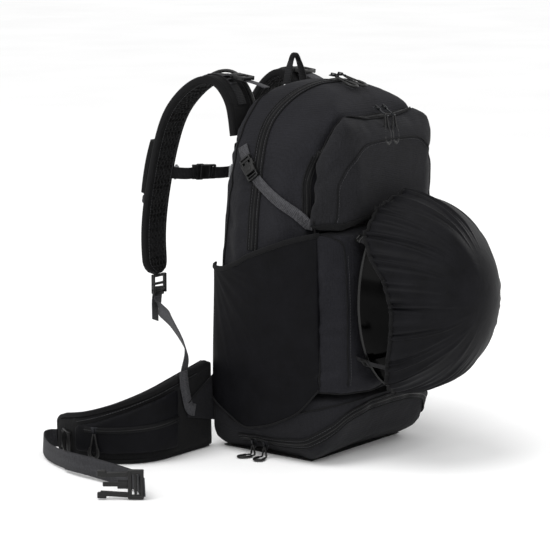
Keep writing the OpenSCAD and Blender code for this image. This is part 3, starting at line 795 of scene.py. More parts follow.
def outer_shell(node: str, name: str) -> bpy.types.Object:
    """A copy of a CAD node's outer surface, without the hollow inside it.

    Args:
        node: The CAD node's name.
        name: The copy's name.

    Returns:
        The copy.
    """
    source = frame["nodes"][node]
    obj = bpy.data.objects.new(name, source.data.copy())
    bpy.context.scene.collection.objects.link(obj)
    shell = bmesh.new()
    shell.from_mesh(obj.data)
    bmesh.ops.remove_doubles(shell, verts=shell.verts, dist=2e-5)
    shell.verts.ensure_lookup_table()
    left = set(shell.verts)
    groups = []
    while left:
        stack = [left.pop()]
        group = set(stack)
        while stack:
            for edge in stack.pop().link_edges:
                for other in edge.verts:
                    if other not in group:
                        group.add(other)
                        stack.append(other)
        left -= group
        groups.append(group)

    def reach(group: set) -> float:
        """The diagonal of a group's box.

        Args:
            group: The vertices of one connected part.

        Returns:
            The diagonal, in metres.
        """
        lows = [min(v.co[i] for v in group) for i in range(3)]
        highs = [max(v.co[i] for v in group) for i in range(3)]
        return math.dist(lows, highs)

    groups.sort(key=reach, reverse=True)
    inner = [v for g in groups[1:] if reach(g) < reach(groups[0]) * 0.999 and inside(g, groups[0]) for v in g]
    bmesh.ops.delete(shell, geom=inner, context="VERTS")
    shell.to_mesh(obj.data)
    shell.free()
    obj.data.materials.clear()
    return obj


def inside(group: set, outer: set) -> bool:
    """Whether a group's box lies within another's."""
    return all(min(v.co[i] for v in group) >= min(v.co[i] for v in outer) - 1e-6
               and max(v.co[i] for v in group) <= max(v.co[i] for v in outer) + 1e-6 for i in range(3))


def stuffed(node: str, name: str, how: Stuffing,
            before: Callable[[bpy.types.Object], None] | None = None) -> bpy.types.Object:
    """Makes a soft shell from a CAD node: remeshed, rounded, and blown up as cloth.

    Args:
        node: The CAD node that gives the place and size.
        name: The new piece's name.
        how: The voxel size, pressure and caps.
        before: An edit made after rounding and before the cloth.

    Returns:
        The finished mesh, with the simulation applied.
    """
    obj = outer_shell(node, name)
    modify(obj, "REMESH", mode="VOXEL", voxel_size=how.voxel)
    if how.shrink:
        modify(obj, "DISPLACE", strength=-how.shrink, mid_level=0.0)
    modify(obj, "SMOOTH", factor=0.5, iterations=how.rounding)
    if before:
        before(obj)
    blow(obj, how)
    for vertex in obj.data.vertices:
        vertex.co.z = max(vertex.co.z, how.floor)
    if how.grow:
        modify(obj, "SUBSURF", levels=how.grow, render_levels=how.grow)
    tidy_mesh(obj, cap=False)
    shade_all(obj)
    return obj


def blow(obj: bpy.types.Object, how: Stuffing) -> None:
    """Runs the cloth simulation on a shell, with no gravity, and caps how far it moves.

    Args:
        obj: The shell, which changes.
        how: The cloth's settings and limits.
    """
    rest = [v.co.copy() for v in obj.data.vertices]
    pick(obj)
    bpy.ops.object.modifier_add(type="CLOTH")
    cloth = obj.modifiers[-1]
    settings = cloth.settings
    settings.quality = 4
    settings.mass = 0.3
    settings.use_pressure = True
    settings.uniform_pressure_force = how.pressure
    settings.tension_stiffness = 25
    settings.bending_stiffness = 0.4
    settings.effector_weights.gravity = 0
    cloth.point_cache.frame_start = 1
    cloth.point_cache.frame_end = 20
    scene = bpy.context.scene
    for number in range(1, 16):
        scene.frame_set(number)
    bpy.ops.object.modifier_apply(modifier=cloth.name)
    scene.frame_set(1)
    for vertex, old in zip(obj.data.vertices, rest):
        step = vertex.co - old
        if step.length > how.cap:
            vertex.co = old + step.normalized() * how.cap
    modify(obj, "SMOOTH", factor=0.5, iterations=3)


# ---------- the pack's soft body ----------
@dataclass
class PackBody:
    """The main and base compartments, the front and stash pockets, and the back pads."""

    main: Stuffing = field(default_factory=lambda: Stuffing(voxel=5.5 * MM, cap=7 * MM))
    base: Stuffing = field(default_factory=lambda: Stuffing(cap=4 * MM, rounding=9))
    pocket: Stuffing = field(default_factory=lambda: Stuffing(voxel=4.5 * MM, cap=7 * MM, rounding=16))
    stash: Stuffing = field(default_factory=lambda: Stuffing(voxel=4.5 * MM, cap=5 * MM, rounding=7))
    pads: Stuffing = field(default_factory=lambda: Stuffing(voxel=3.2 * MM, cap=3 * MM, rounding=4,
                                                            shrink=0.6 * MM, pressure=2.0))

    def build(self) -> dict[str, bpy.types.Object]:
        """Makes the shells.

        Returns:
            The pieces by short name, for trims to lie on.
        """
        main = stuffed("main_compartment", "main_shell", self.main)
        fit(main, "pack", "shell_cloth", Finish.BODY, stands_for=["main_compartment"])
        base = stuffed("base_compartment", "base_shell", self.base)
        fit(base, "pack", "base_cloth", Finish.LOWER, stands_for=["base_compartment"])
        pocket = stuffed("front_pocket", "front_pocket_shell", self.pocket)
        fit(pocket, "pack", "shell_cloth", Finish.BORDER, stands_for=["front_pocket"])
        stash = stuffed("stash_pocket", "stash_pocket_shell", self.stash, before=self.gather)
        fit(stash, "pack", "base_cloth", Finish.GUSSET, stands_for=["stash_pocket"])
        pads = stuffed("back_pads", "back_pad_set", self.pads)
        fit(pads, "pack", "pad_mesh", Finish.MESH, stands_for=["back_pads"])
        return {"main": main, "base": base, "pocket": pocket, "stash": stash, "pads": pads}

    @staticmethod
    def gather(obj: bpy.types.Object) -> None:
        """Puts soft level creases in the stash pocket's gusset.

        Args:
            obj: The stash pocket's cloth, which changes.
        """
        rng = random.Random(7)
        creases = [(rng.uniform(0.11, 0.30), rng.uniform(0.0016, 0.0030), rng.uniform(-0.25, 0.25))
                   for _ in range(11)]
        for v in obj.data.vertices:
            y_share = (v.co.y + 0.11) / 0.06
            push = 0.0
            for z, deep, slope in creases:
                away = v.co.z - z - slope * (v.co.y + 0.11)
                push -= deep * bell(away, 0.0045)
            if abs(v.co.x) > 0.07:
                v.co.x += math.copysign(push, v.co.x) * max(0.0, min(1.0, 1.2 - 0.3 * abs(y_share)))
            else:
                v.co.y -= push * 0.5


# ---------- camera, floor and light ----------
@dataclass
class Studio:
    """The camera, a pale floor and soft lights."""

    eye: Point = (-2641.84, -1991.48, 819.95)
    target: Point = (-3.30, 69.97, 229.54)
    lens: float = 157.1

    def build(self) -> None:
        """Makes the floor, the lights and the camera."""
        bpy.ops.object.select_all(action="DESELECT")
        bpy.ops.mesh.primitive_plane_add(size=60, location=(0, 0, -0.0005))
        floor = bpy.context.view_layer.objects.active
        floor.name = "floor"
        material, tree, shader, where = blank("pale_floor")
        tone = add_node(tree, "TexNoise", Vector=where.outputs["Object"], Scale=2.0, Detail=2.0)
        tree.links.new(ramp(tree, tone.outputs["Fac"], "fafafa", "ffffff"), shader.inputs["Base Color"])
        shader.inputs["Roughness"].default_value = 0.9
        shader.inputs["Specular IOR Level"].default_value = 0.1
        floor.data.materials.append(material)
        world = bpy.data.worlds.new("studio")
        bpy.context.scene.world = world
        world.use_nodes = True
        back = world.node_tree.nodes["Background"]
        back.inputs["Color"].default_value = (1.0, 1.0, 1.0, 1.0)
        back.inputs["Strength"].default_value = 0.62
        bpy.ops.object.light_add(type="SUN", location=(-1.5, 0.8, 4.0))
        sun = bpy.context.view_layer.objects.active
        sun.name = "overhead"
        sun.data.energy = 1.35
        sun.data.angle = math.radians(38)
        sun.rotation_euler = Vector((0.36, -0.14, -1)).to_track_quat("-Z", "Y").to_euler()
        self.lamp("key", (-1.6, -1.9, 2.0), 1.6, 26)
        self.lamp("fill", (-2.6, 0.9, 1.4), 1.4, 12)
        self.lamp("rim", (2.2, -0.6, 1.4), 1.0, 14)
        bpy.ops.object.camera_add(location=mm(*self.eye))
        camera = bpy.context.view_layer.objects.active
        camera.name = "camera"
        look = mm(*self.target) - mm(*self.eye)
        camera.rotation_euler = look.to_track_quat("-Z", "Y").to_euler()
        camera.data.lens = self.lens
        camera.data.sensor_width = 36
        camera.data.clip_end = 50
        bpy.context.scene.camera = camera
        bpy.context.scene.view_settings.view_transform = "Standard"

    @staticmethod
    def lamp(name: str, spot: Point, size: float, power: float) -> None:
        """Adds a square soft light that points at the pack.

        Args:
            name: The lamp's name.
            spot: Its place.
            size: Its side, in metres.
            power: Its power, in watts.
        """
        bpy.ops.object.light_add(type="AREA", location=spot)
        lamp = bpy.context.view_layer.objects.active
        lamp.name = name
        lamp.data.size = size
        lamp.data.energy = power
        aim = Vector((0, 0, 0.25)) - Vector(spot)
        lamp.rotation_euler = aim.to_track_quat("-Z", "Y").to_euler()


# ---------- shapes that repeat ----------
def rounded_box(low: Point, high: Point, bevel: float = 0.8, segments: int = 2) -> bpy.types.Object:
    """A box with rounded edges, its corners and bevel in millimetres.

    Args:
        low: Its lowest corner.
        high: Its highest corner.
        bevel: The edges' bevel.
        segments: The bevel's segments.

    Returns:
        The new object.
    """
    bpy.ops.object.select_all(action="DESELECT")
    middle = [(a + b) / 2 * MM for a, b in zip(low, high)]
    bpy.ops.mesh.primitive_cube_add(size=1.0, location=middle)
    obj = bpy.context.view_layer.objects.active
    obj.scale = [(b - a) * MM for a, b in zip(low, high)]
    bpy.ops.object.transform_apply(location=True, rotation=True, scale=True)
    bpy.ops.object.mode_set(mode="EDIT")
    bpy.ops.mesh.select_all(action="SELECT")
    bpy.ops.mesh.bevel(offset=bevel * MM, segments=segments, affect="EDGES")
    bpy.ops.object.mode_set(mode="OBJECT")
    return obj


def boxes(*rows: Sequence[Point | float]) -> list[bpy.types.Object]:
    """Rounded boxes, one for each row of low corner, high corner, bevel and, where given, segments."""
    return [rounded_box(*row) for row in rows]


def turned(radius: float, low: Point, high: Point, sides: int = 20, bevel: float = 0.5) -> bpy.types.Object:
    """A round bar with bevelled ends between two points, in millimetres.

    Args:
        radius: The bar's radius.
        low: One end's middle.
        high: The other end's middle.
        sides: How many sides the bar has.
        bevel: The ends' bevel.

    Returns:
        The new object.
    """
    a, b = mm(*low), mm(*high)
    bpy.ops.object.select_all(action="DESELECT")
    bpy.ops.mesh.primitive_cylinder_add(vertices=sides, radius=radius * MM, depth=(b - a).length)
    obj = bpy.context.view_layer.objects.active
    bpy.ops.object.mode_set(mode="EDIT")
    bpy.ops.mesh.select_all(action="DESELECT")
    mesh = bmesh.from_edit_mesh(obj.data)
    for edge in mesh.edges:
        edge.select = all(len(f.verts) != 4 or f.normal.z ** 2 < 0.5 for f in edge.link_faces) is False
    bmesh.update_edit_mesh(obj.data)
    bpy.ops.mesh.bevel(offset=bevel * MM, segments=2, affect="EDGES")
    bpy.ops.object.mode_set(mode="OBJECT")
    turn = (b - a).to_track_quat("Z", "Y").to_matrix().to_4x4()
    obj.data.transform(Matrix.Translation((a + b) / 2) @ turn)
    return obj


def placed(obj: bpy.types.Object, at: Vector, forward: Vector, up: Vector) -> bpy.types.Object:
    """Turns a mesh's +Y to forward and its +Z to up, and moves its origin to a point.

    Args:
        obj: The mesh that moves.
        at: Where its origin goes, in metres.
        forward: Where its +Y goes.
        up: Where its +Z goes.

    Returns:
        The same object.
    """
    y_axis = forward.normalized()
    x_axis = y_axis.cross(up).normalized()
    z_axis = x_axis.cross(y_axis)
    turn = Matrix((x_axis, y_axis, z_axis)).transposed().to_4x4()
    obj.data.transform(Matrix.Translation(at) @ turn)
    return obj


def stitches(name: str, path: Sequence[Vector], normals: Sequence[Vector], pitch: float = 4.0,
             length: float = 2.8, radius: float = 0.35) -> bpy.types.Object:
    """A row of raised thread stitches along a laid path, with sizes in millimetres.

    Args:
        name: The piece's name.
        path: The row's middle line, in metres.
        normals: The cloth's direction outwards at each point.
        pitch: The distance from one stitch to the next.
        length: A stitch's length.
        radius: The thread's radius.

    Returns:
        The new object.
    """
    parts: list[Vector] = []
    faces: list[tuple[int, ...]] = []
    run = 0.0
    for i in range(len(path) - 1):
        a, b = path[i], path[i + 1]
        span = (b - a).length
        while run < span:
            t = (b - a).normalized()
            n = normals[i]
            side = t.cross(n).normalized() * radius * MM
            start = a + t * run
            end = start + t * length * MM
            base = len(parts)
            for p in (start, end):
                lift = n * radius * MM
                parts.extend((p + side, p + lift, p - side, p - lift))
            for k in range(4):
                m = (k + 1) % 4
                faces.append((base + k, base + m, base + 4 + m, base + 4 + k))
            faces.append((base + 3, base + 2, base + 1, base))
            faces.append((base + 4, base + 5, base + 6, base + 7))
            run += pitch * MM
        run -= span
    data = bpy.data.meshes.new(name)
    data.from_pydata(parts, [], faces)
    obj = bpy.data.objects.new(name, data)
    bpy.context.scene.collection.objects.link(obj)
    tidy_mesh(obj, cap=False, merge=1e-7)
    return obj


def thread_row(name: str, skin: Skin, points: Sequence[Vector], body: str, lift: float = 0.3) -> None:
    """Sews one visible row of stitches on the cloth."""
    path, normals = skin.lay(curve_through(points, 4 * MM), lift * MM)
    fit(stitches(name, path, normals), body, "trim", Finish.THREAD)


def piping(name: str, skin: Skin, points: Sequence[Vector], body: str = "pack", radius: float = 1.3,
           finish: Finish = Finish.LINING) -> bpy.types.Object:
    """Lays a corded seam on the cloth.

    Args:
        name: The piece's name.
        skin: The cloth surface that the trims lie on.
        points: The seam's line, in metres.
        body: The body that it moves with.
        radius: The cord's radius, in millimetres.
        finish: The cord's finish.

    Returns:
        The new object.
    """
    path, normals = skin.lay(curve_through(points, 4 * MM), radius * 0.5 * MM)
    obj = sweep(name, path, normals, round_section(radius * MM, 8))
    smooth(obj, CLOTH_EDGE)
    return fit(obj, body, "base_cloth", finish)


def both_ways(points: Sequence[Point]) -> list[Vector]:
    """A path in millimetres from its left end over the middle to the mirrored right end."""
    left = points_mm(points)
    return left + [Vector((-p.x, p.y, p.z)) for p in reversed(left) if p.x < -1e-5]


@dataclass
class CoilZip:
    """A coated coil zip laid on the cloth: two tapes, the closed coil under their lips, and its seams."""

    name: str
    points: list[Vector]
    body: str = "pack"
    tape: float = 14.0
    lift: float = 0.8
    stands_for: tuple[str, ...] = ()
    edge_cord: bool = True

    def build(self, skin: Skin) -> None:
        """Lays the zip on a surface.

        Args:
            skin: The surface.
        """
        path, normals = skin.lay(curve_through(self.points, 4 * MM), self.lift * MM, ease=4)
        tape = sweep(self.name, path, normals, flat_section(self.tape * MM, 1.3 * MM))
        parts = [tape]
        for k, side in enumerate((-1, 1)):
            lip = self.shifted(path, normals, side * 1.75, 0.7)
            parts.append(sweep(f"lip{k}", lip, normals, flat_section(3.1 * MM, 1.1 * MM)))
        zipper = join(self.name, parts)
        smooth(zipper, WEBBING_EDGE)
        fit(zipper, self.body, "zip", Finish.ZIP, stands_for=self.stands_for)
        coil_path, coil_normals = skin.lay(curve_through(self.points, 1.1 * MM),
                                           (self.lift + 0.9) * MM, ease=9)
        teeth = [0.9 + 0.35 * (i % 2) for i in range(len(coil_path))]
        coil = sweep(self.name + "_coil", coil_path, coil_normals, round_section(0.62 * MM, 6), scales=teeth)
        fit(coil, self.body, "zip", Finish.ACETAL)
        for k, side in enumerate((-1, 1)):
            if self.edge_cord:
                rail = self.shifted(path, normals, side * (self.tape / 2 + 0.6), 0.1)
                cord = sweep(f"{self.name}_cord_{k}", rail, normals, round_section(1.2 * MM, 8))
                smooth(cord, CLOTH_EDGE)
                fit(cord, self.body, "base_cloth", Finish.LINING)
            row = self.shifted(path, normals, side * (self.tape / 2 - 1.6), 0.75)
            fit(stitches(f"{self.name}_thread_{k}", row, normals), self.body, "trim", Finish.THREAD)

    @staticmethod
    def shifted(path: Sequence[Vector], normals: Sequence[Vector], across: float, up: float) -> list[Vector]:
        """The path moved across and up, in millimetres.

        Args:
            path: The points, in metres.
            normals: The direction outwards at each point.
            across: How far it moves to its side.
            up: How far it moves outwards.

        Returns:
            The moved points.
        """
        ways = tangents(path)
        return [p + t.cross(n).normalized() * across * MM + n * up * MM
                for p, t, n in zip(path, ways, normals)]


# ---------- zips, seams and panels on the body ----------
@dataclass
class BodyTrims:
    """The zips, corded seams, sewn panels and compression straps of the pack's body."""

    main_zip: tuple[Point, ...] = (
        (-135, 6, 289), (-133, 5, 330), (-129, 3, 375), (-123, 4, 411), (-111, 6, 439), (-99, 5, 460),
        (-88, 1, 474), (-75, -5, 487), (-61, -12, 497), (-47, -20, 504), (-31, -28, 509), (-12, -34, 512),
        (0, -35, 513))
    front_zip: tuple[Point, ...] = (
        (-117, -72, 340), (-116, -72, 362), (-114, -70, 379), (-111, -72, 396), (-107, -77, 411),
        (-102, -84, 427), (-96, -91, 442), (-86, -99, 455), (-72, -105, 466), (-50, -108, 471),
        (-27, -109, 473), (0, -109, 474))
    inset: tuple[Point, ...] = (
        (-108, -112, 330), (-107, -116, 358), (-107, -117, 383), (-98, -121, 401), (-86, -127, 418),
        (-68, -129, 432), (-45, -129, 437), (0, -129, 438))
    base_zip: tuple[Point, ...] = (
        (-123, 40, 16), (-122, 14, 19), (-122, -10, 21), (-121, -34, 24), (-121, -74, 30), (-119, -98, 41),
        (-106, -113, 54), (-91, -122, 66), (-58, -128, 75), (-20, -129, 78), (0, -129, 78))
    back_seam: tuple[Point, ...] = (
        (-119, 88, 100), (-119, 84, 150), (-119, 78, 205), (-119, 68, 275), (-119, 60, 323),
        (-118, 53, 365), (-114, 48, 407), (-103, 45, 443), (-84, 42, 473), (-58, 40, 491),
        (-30, 38, 500), (0, 37, 503))
    front_seam: tuple[Point, ...] = (
        (-121, -88, 336), (-121, -89, 316), (-121, -92, 272), (-121, -94, 216), (-121, -96, 161),
        (-121, -99, 112))
    gusset_seam: tuple[Point, ...] = (
        (-119, -96, 320), (-107, -122, 309), (-102, -126, 290), (-100, -127, 257), (-99, -128, 203),
        (-98, -128, 148), (-97, -129, 112))
    base_seam: tuple[Point, ...] = (
        (-112, 90, 92), (-123, 75, 93), (-132, 30, 94), (-133, -30, 94), (-129, -70, 95), (-121, -100, 95),
        (-104, -124, 96), (-60, -134, 97), (0, -137, 97))
    flap_seam: tuple[Point, ...] = (
        (-126, 68, 62), (-129, 40, 44), (-130, 0, 48), (-130, -33, 57), (-127, -70, 72), (-117, -104, 82),
        (-92, -126, 88), (-50, -133, 90), (0, -135, 90))

    def build(self, shells: dict[str, bpy.types.Object]) -> None:
        """Lays every trim on the shells.

        Args:
            shells: The blown shells by their short names.
        """
        body = Skin(shells["main"], shells["pocket"], shells["stash"])
        main = Skin(shells["main"])
        lower = Skin(shells["base"], shells["stash"])
        pocket = Skin(shells["pocket"])
        CoilZip("main_zip_band", both_ways(self.main_zip), stands_for=("main_zip",)).build(main)
        CoilZip("front_zip_band", both_ways(self.front_zip), tape=9.0, lift=0.9,
                stands_for=("front_zip",)).build(Skin(shells["pocket"], shells["main"]))
        CoilZip("base_zip_band", both_ways(self.base_zip), tape=13.0,
                stands_for=("base_zip",)).build(Skin(shells["base"]))
        piping("inset_seam", pocket, both_ways(self.inset), radius=1.0)
        thread_row("inset_thread", pocket, both_ways([(x + 3, y, z - 3) for x, y, z in self.inset[:-1]]
                                                     + [(0, -129, 435)]), "pack")
        piping("back_seam", main, both_ways(self.back_seam))
        piping("base_seam", body, both_ways(self.base_seam), radius=1.1)
        piping("flap_seam", lower, both_ways(self.flap_seam), radius=1.2)
        self.pocket_hem(pocket)
        for side in Side:
            piping(f"front_seam_{side.word}", body, points_mm(self.front_seam, side))
            piping(f"gusset_seam_{side.word}", body, points_mm(self.gusset_seam, side), radius=1.0)
            thread_row(f"gusset_thread_{side.word}", body,
                       points_mm([(x + 4, y - 2, z) for x, y, z in self.gusset_seam[2:]], side), "pack")
            self.compression(side, body)

    @staticmethod
    def pocket_hem(skin: Skin) -> None:
        """Lays the bound lower hem of the front pocket.

        Args:
            skin: The cloth surface that the trims lie on.
        """
        line = both_ways([(-121, -84, 327), (-117, -98, 328), (-110, -112, 329), (-95, -121, 330),
                          (-60, -126, 331), (0, -128, 331)])
        path, normals = skin.lay(curve_through(line, 4 * MM), 0.6 * MM, ease=4)
        hem = sweep("pocket_hem", path, normals, flat_section(11 * MM, 1.6 * MM))
        smooth(hem, WEBBING_EDGE)
        fit(hem, "pack", "base_cloth", Finish.LINING)

    @staticmethod
    def compression(side: Side, skin: Skin) -> None:
        """Makes one compression strap: anchor tab, side-release buckle, webbing and sewn end.

        Args:
            side: The wearer's side.
            skin: The cloth surface that the trims lie on.
        """
        line = curve_through(points_mm([(-121, 36, 428), (-124, 24, 410), (-127, 8, 390), (-130, -12, 374),
                                        (-131, -34, 360), (-126, -54, 347), (-120, -68, 337),
                                        (-115, -78, 328)], side), 4 * MM)
        path, normals = skin.lay(line, 2.2 * MM, ease=4)
        cut = 7
        tab = sweep("tab", path[:cut], normals[:cut], flat_section(16 * MM, 1.8 * MM))
        run = sweep(f"compression_web_{side.word}", path[cut + 5:], normals[cut + 5:],
                    flat_section(15 * MM, 1.7 * MM))
        ply = [p + n * 1.7 * MM for p, n in zip(path[-7:], normals[-7:])]
        end = sweep("end", ply, normals[-7:], flat_section(15 * MM, 1.4 * MM))
        webbing = join(f"compression_web_{side.word}", [run, tab, end])
        smooth(webbing, WEBBING_EDGE)
        fit(webbing, "pack", "webbing", Finish.WEBBING, stands_for=["compression_webbing"])
        zigzag = [p + n * 0.9 * MM + tangents(ply)[0].cross(n) * (4.5 * MM if i % 2 else -4.5 * MM)
                  for i, (p, n) in enumerate(zip(ply, normals[-7:]))]
        fit(stitches(f"compression_tack_{side.word}", curve_through(zigzag, 2 * MM),
                     [normals[-3]] * 400, pitch=2.2, length=2.0, radius=0.5), "pack", "trim", Finish.THREAD)
        at = path[cut + 2]
        way = (path[cut + 6] - path[cut - 3]).normalized()
        buckle = SideRelease(19, 34, 7).build(f"compression_buckle_{side.word}")
        placed(buckle, at + normals[cut + 2] * 1.6 * MM, way, normals[cut + 2])
        fit(buckle, "pack", "trim", Finish.ACETAL, stands_for=["compression_buckles"])


@dataclass
class SideRelease:
    """A closed side-release buckle, lying along +Y with its back at z = 0; sizes in millimetres."""

    width: float
    length: float
    thick: float

    def build(self, name: str) -> bpy.types.Object:
        """Joins the housing, the squeezed prongs, the web bars and the raised rib.

        Args:
            name: The piece's name.

        Returns:
            The new object.
        """
        w, l, t = self.width / 2, self.length / 2, self.thick / 2
        parts = boxes(
            ((-w, -l * 0.35, -t), (w, l * 0.45, t), 1.4, 3),
            ((-w - 1.2, -l * 0.62, -t * 0.6), (-w + 3.2, -l * 0.05, t * 0.6), 1.2, 3),
            ((w - 3.2, -l * 0.62, -t * 0.6), (w + 1.2, -l * 0.05, t * 0.6), 1.2, 3),
            ((-w * 0.35, -l * 0.6, -t * 0.5), (w * 0.35, 0, t * 0.5), 0.8),
            ((-w, -l * 0.78, -t * 0.7), (w, -l * 0.58, t * 0.7), 0.9),
            ((-w, -l, -t * 0.7), (-w + 2.6, -l * 0.7, t * 0.7), 0.9),
            ((w - 2.6, -l, -t * 0.7), (w, -l * 0.7, t * 0.7), 0.9),
            ((-w, -l, -t * 0.6), (w, -l * 0.88, t * 0.6), 0.9),
            ((-w, l * 0.4, -t * 0.7), (-w + 2.6, l, t * 0.7), 0.9),
            ((w - 2.6, l * 0.4, -t * 0.7), (w, l, t * 0.7), 0.9),
            ((-w, l * 0.86, -t * 0.7), (w, l, t * 0.7), 0.9),
            ((-w, l * 0.6, -t * 0.5), (w, l * 0.72, t * 0.5), 0.9),
            ((-w * 0.5, -l * 0.1, t - 0.6), (w * 0.5, l * 0.25, t + 0.7), 0.5))
        obj = join(name, parts)
        smooth(obj, MOULDED_EDGE)
        return obj


def ladder_lock(name: str, width: float, length: float, thick: float) -> bpy.types.Object:
    """A ladder lock along +Y with its raised release lip at +Y; sizes in millimetres.

    Args:
        name: The piece's name.
        width: Its size across.
        length: Its size along the webbing.
        thick: Its thickness.

    Returns:
        The new object.
    """
    w, l, t = width / 2, length / 2, thick / 2
    rail = 3.0
    parts = boxes(
        ((-w, -l, -t), (-w + rail, l * 0.8, t), 1.0, 3),
        ((w - rail, -l, -t), (w, l * 0.8, t), 1.0, 3),
        ((-w, -l, -t * 0.8), (w, -l + 4, t * 0.8), 1.2, 3),
        ((-w, -l * 0.25, -t * 0.8), (w, -l * 0.25 + 3.6, t * 0.5), 1.0, 3),
        ((-w, l * 0.32, -t * 0.9), (w, l * 0.32 + 4, t * 1.0), 1.2, 3),
        ((-w * 0.8, l * 0.6, -t * 0.2), (w * 0.8, l, t * 1.25), 1.4, 3))
    for k in range(3):
        y = l * 0.36 + 1.3 * k
        parts.append(rounded_box((-w * 0.7, y, t * 0.9), (w * 0.7, y + 0.6, t * 1.15), 0.2, 1))
    obj = join(name, parts)
    smooth(obj, MOULDED_EDGE)
    return obj


# ---------- side pockets ----------
@dataclass
class SidePocket:
    """A stretch pocket on one flank, with an elastic top hem and creases from its rear corner."""

    side: Side
    top: tuple[tuple[float, float], ...] = (
        (84, 262), (72, 260), (52, 262), (27, 272), (5, 284), (-32, 299), (-64, 311), (-94, 319))
    bottom: tuple[tuple[float, float], ...] = (
        (90, 74), (72, 63), (52, 53), (25, 41), (-2, 44), (-33, 54), (-70, 74), (-98, 107))
    creases: int = 9
    thick: float = 1.4

    def build(self, skin: Skin) -> None:
        """Makes the cloth, its hem and its edge seams.

        Args:
            skin: The cloth surface that the trims lie on.
        """
        rng = random.Random(11)
        folds = [(math.radians(8 + 9.5 * k + rng.uniform(-3, 3)), rng.uniform(2.2, 4.6),
                  rng.uniform(0.9, 2.3), rng.uniform(60, 150)) for k in range(self.creases)]
        bottoms = curve_through([Vector((0, y, z)) for y, z in self.bottom], 2.0)
        tops = curve_through([Vector((0, y, z)) for y, z in self.top], 2.0)
        sign = self.side.value

        def along(line: Sequence[Vector], s: float) -> Vector:
            """The point at a share of a line.

            Args:
                line: The line's points.
                s: The share of its length.

            Returns:
                The point.
            """
            k = s * (len(line) - 1)
            i = min(int(k), len(line) - 2)
            return line[i].lerp(line[i + 1], k - i)

        def place(s: float, t: float) -> Vector:
            """A point of the pocket's outer face.

            Args:
                s: The share from one edge to the other.
                t: The share from the base to the hem.

            Returns:
                The point, in metres.
            """
            spot = along(bottoms, s).lerp(along(tops, s), t)
            y, z = spot.y, spot.z
            arch = math.sin(math.pi * min(max(s, 0.0), 1.0)) ** 0.45
            rise = 0.62 + 0.38 * min(1.0, t * 2.6) ** 0.7
            x = 118 + 24 * arch * rise + 4.0 * arch * t ** 3
            hit = skin.tree.ray_cast(Vector((sign * 0.3, y * MM, z * MM)), Vector((-sign, 0, 0)))[0]
            if hit is not None:
                x = max(x, abs(hit.x) / MM + 1.6)
            reach, fall = 84 - y, 262 - z + 6
            r = math.hypot(reach, fall)
            angle = math.atan2(fall, reach)
            for at, wide, high, far in folds:
                away = wrapped(angle - at) * r
                x += high * bell(away, wide) * math.exp(-r / far) * min(1.0, r / 14) * arch
            x += 0.8 * math.sin(z / 15 + y / 38) * arch * (1 - t)
            return mm(sign * min(x, 149.5), y, z)

        cloth = grid(f"side_pocket_cloth_{self.side.word}", 96, 96, place)
        for loop in cloth.data.uv_layers[0].data:
            loop.uv = (loop.uv[0] * 0.2, loop.uv[1] * 0.22)
        edge_hem = [place(k / 60, 1.0) for k in range(61)]
        tidy_mesh(cloth, cap=False)
        middle = cloth.data.polygons[len(cloth.data.polygons) // 2]
        if middle.normal.x * sign < 0:
            cloth.data.flip_normals()
        modify(cloth, "SOLIDIFY", thickness=self.thick * MM, offset=-1.0)
        shade_all(cloth)
        node = f"side_pocket_{self.side.word}"
        fit(cloth, "pack", "stretch_cloth", Finish.SIDE, stands_for=[node])
        out = Vector((sign, 0, 0))
        hem = sweep(f"side_pocket_hem_{self.side.word}", [p - Vector((0, 0, 2 * MM)) for p in edge_hem],
                    out, flat_section(7 * MM, 3.2 * MM))
        smooth(hem, CLOTH_EDGE)
        fit(hem, "pack", "stretch_cloth", Finish.LINING)
        low_edge = [place(k / 60, 0.0) + out * 0.4 * MM for k in range(61)]
        seam = sweep(f"side_pocket_seam_{self.side.word}", low_edge, out, round_section(1.4 * MM, 8))
        smooth(seam, CLOTH_EDGE)
        fit(seam, "pack", "stretch_cloth", Finish.LINING)


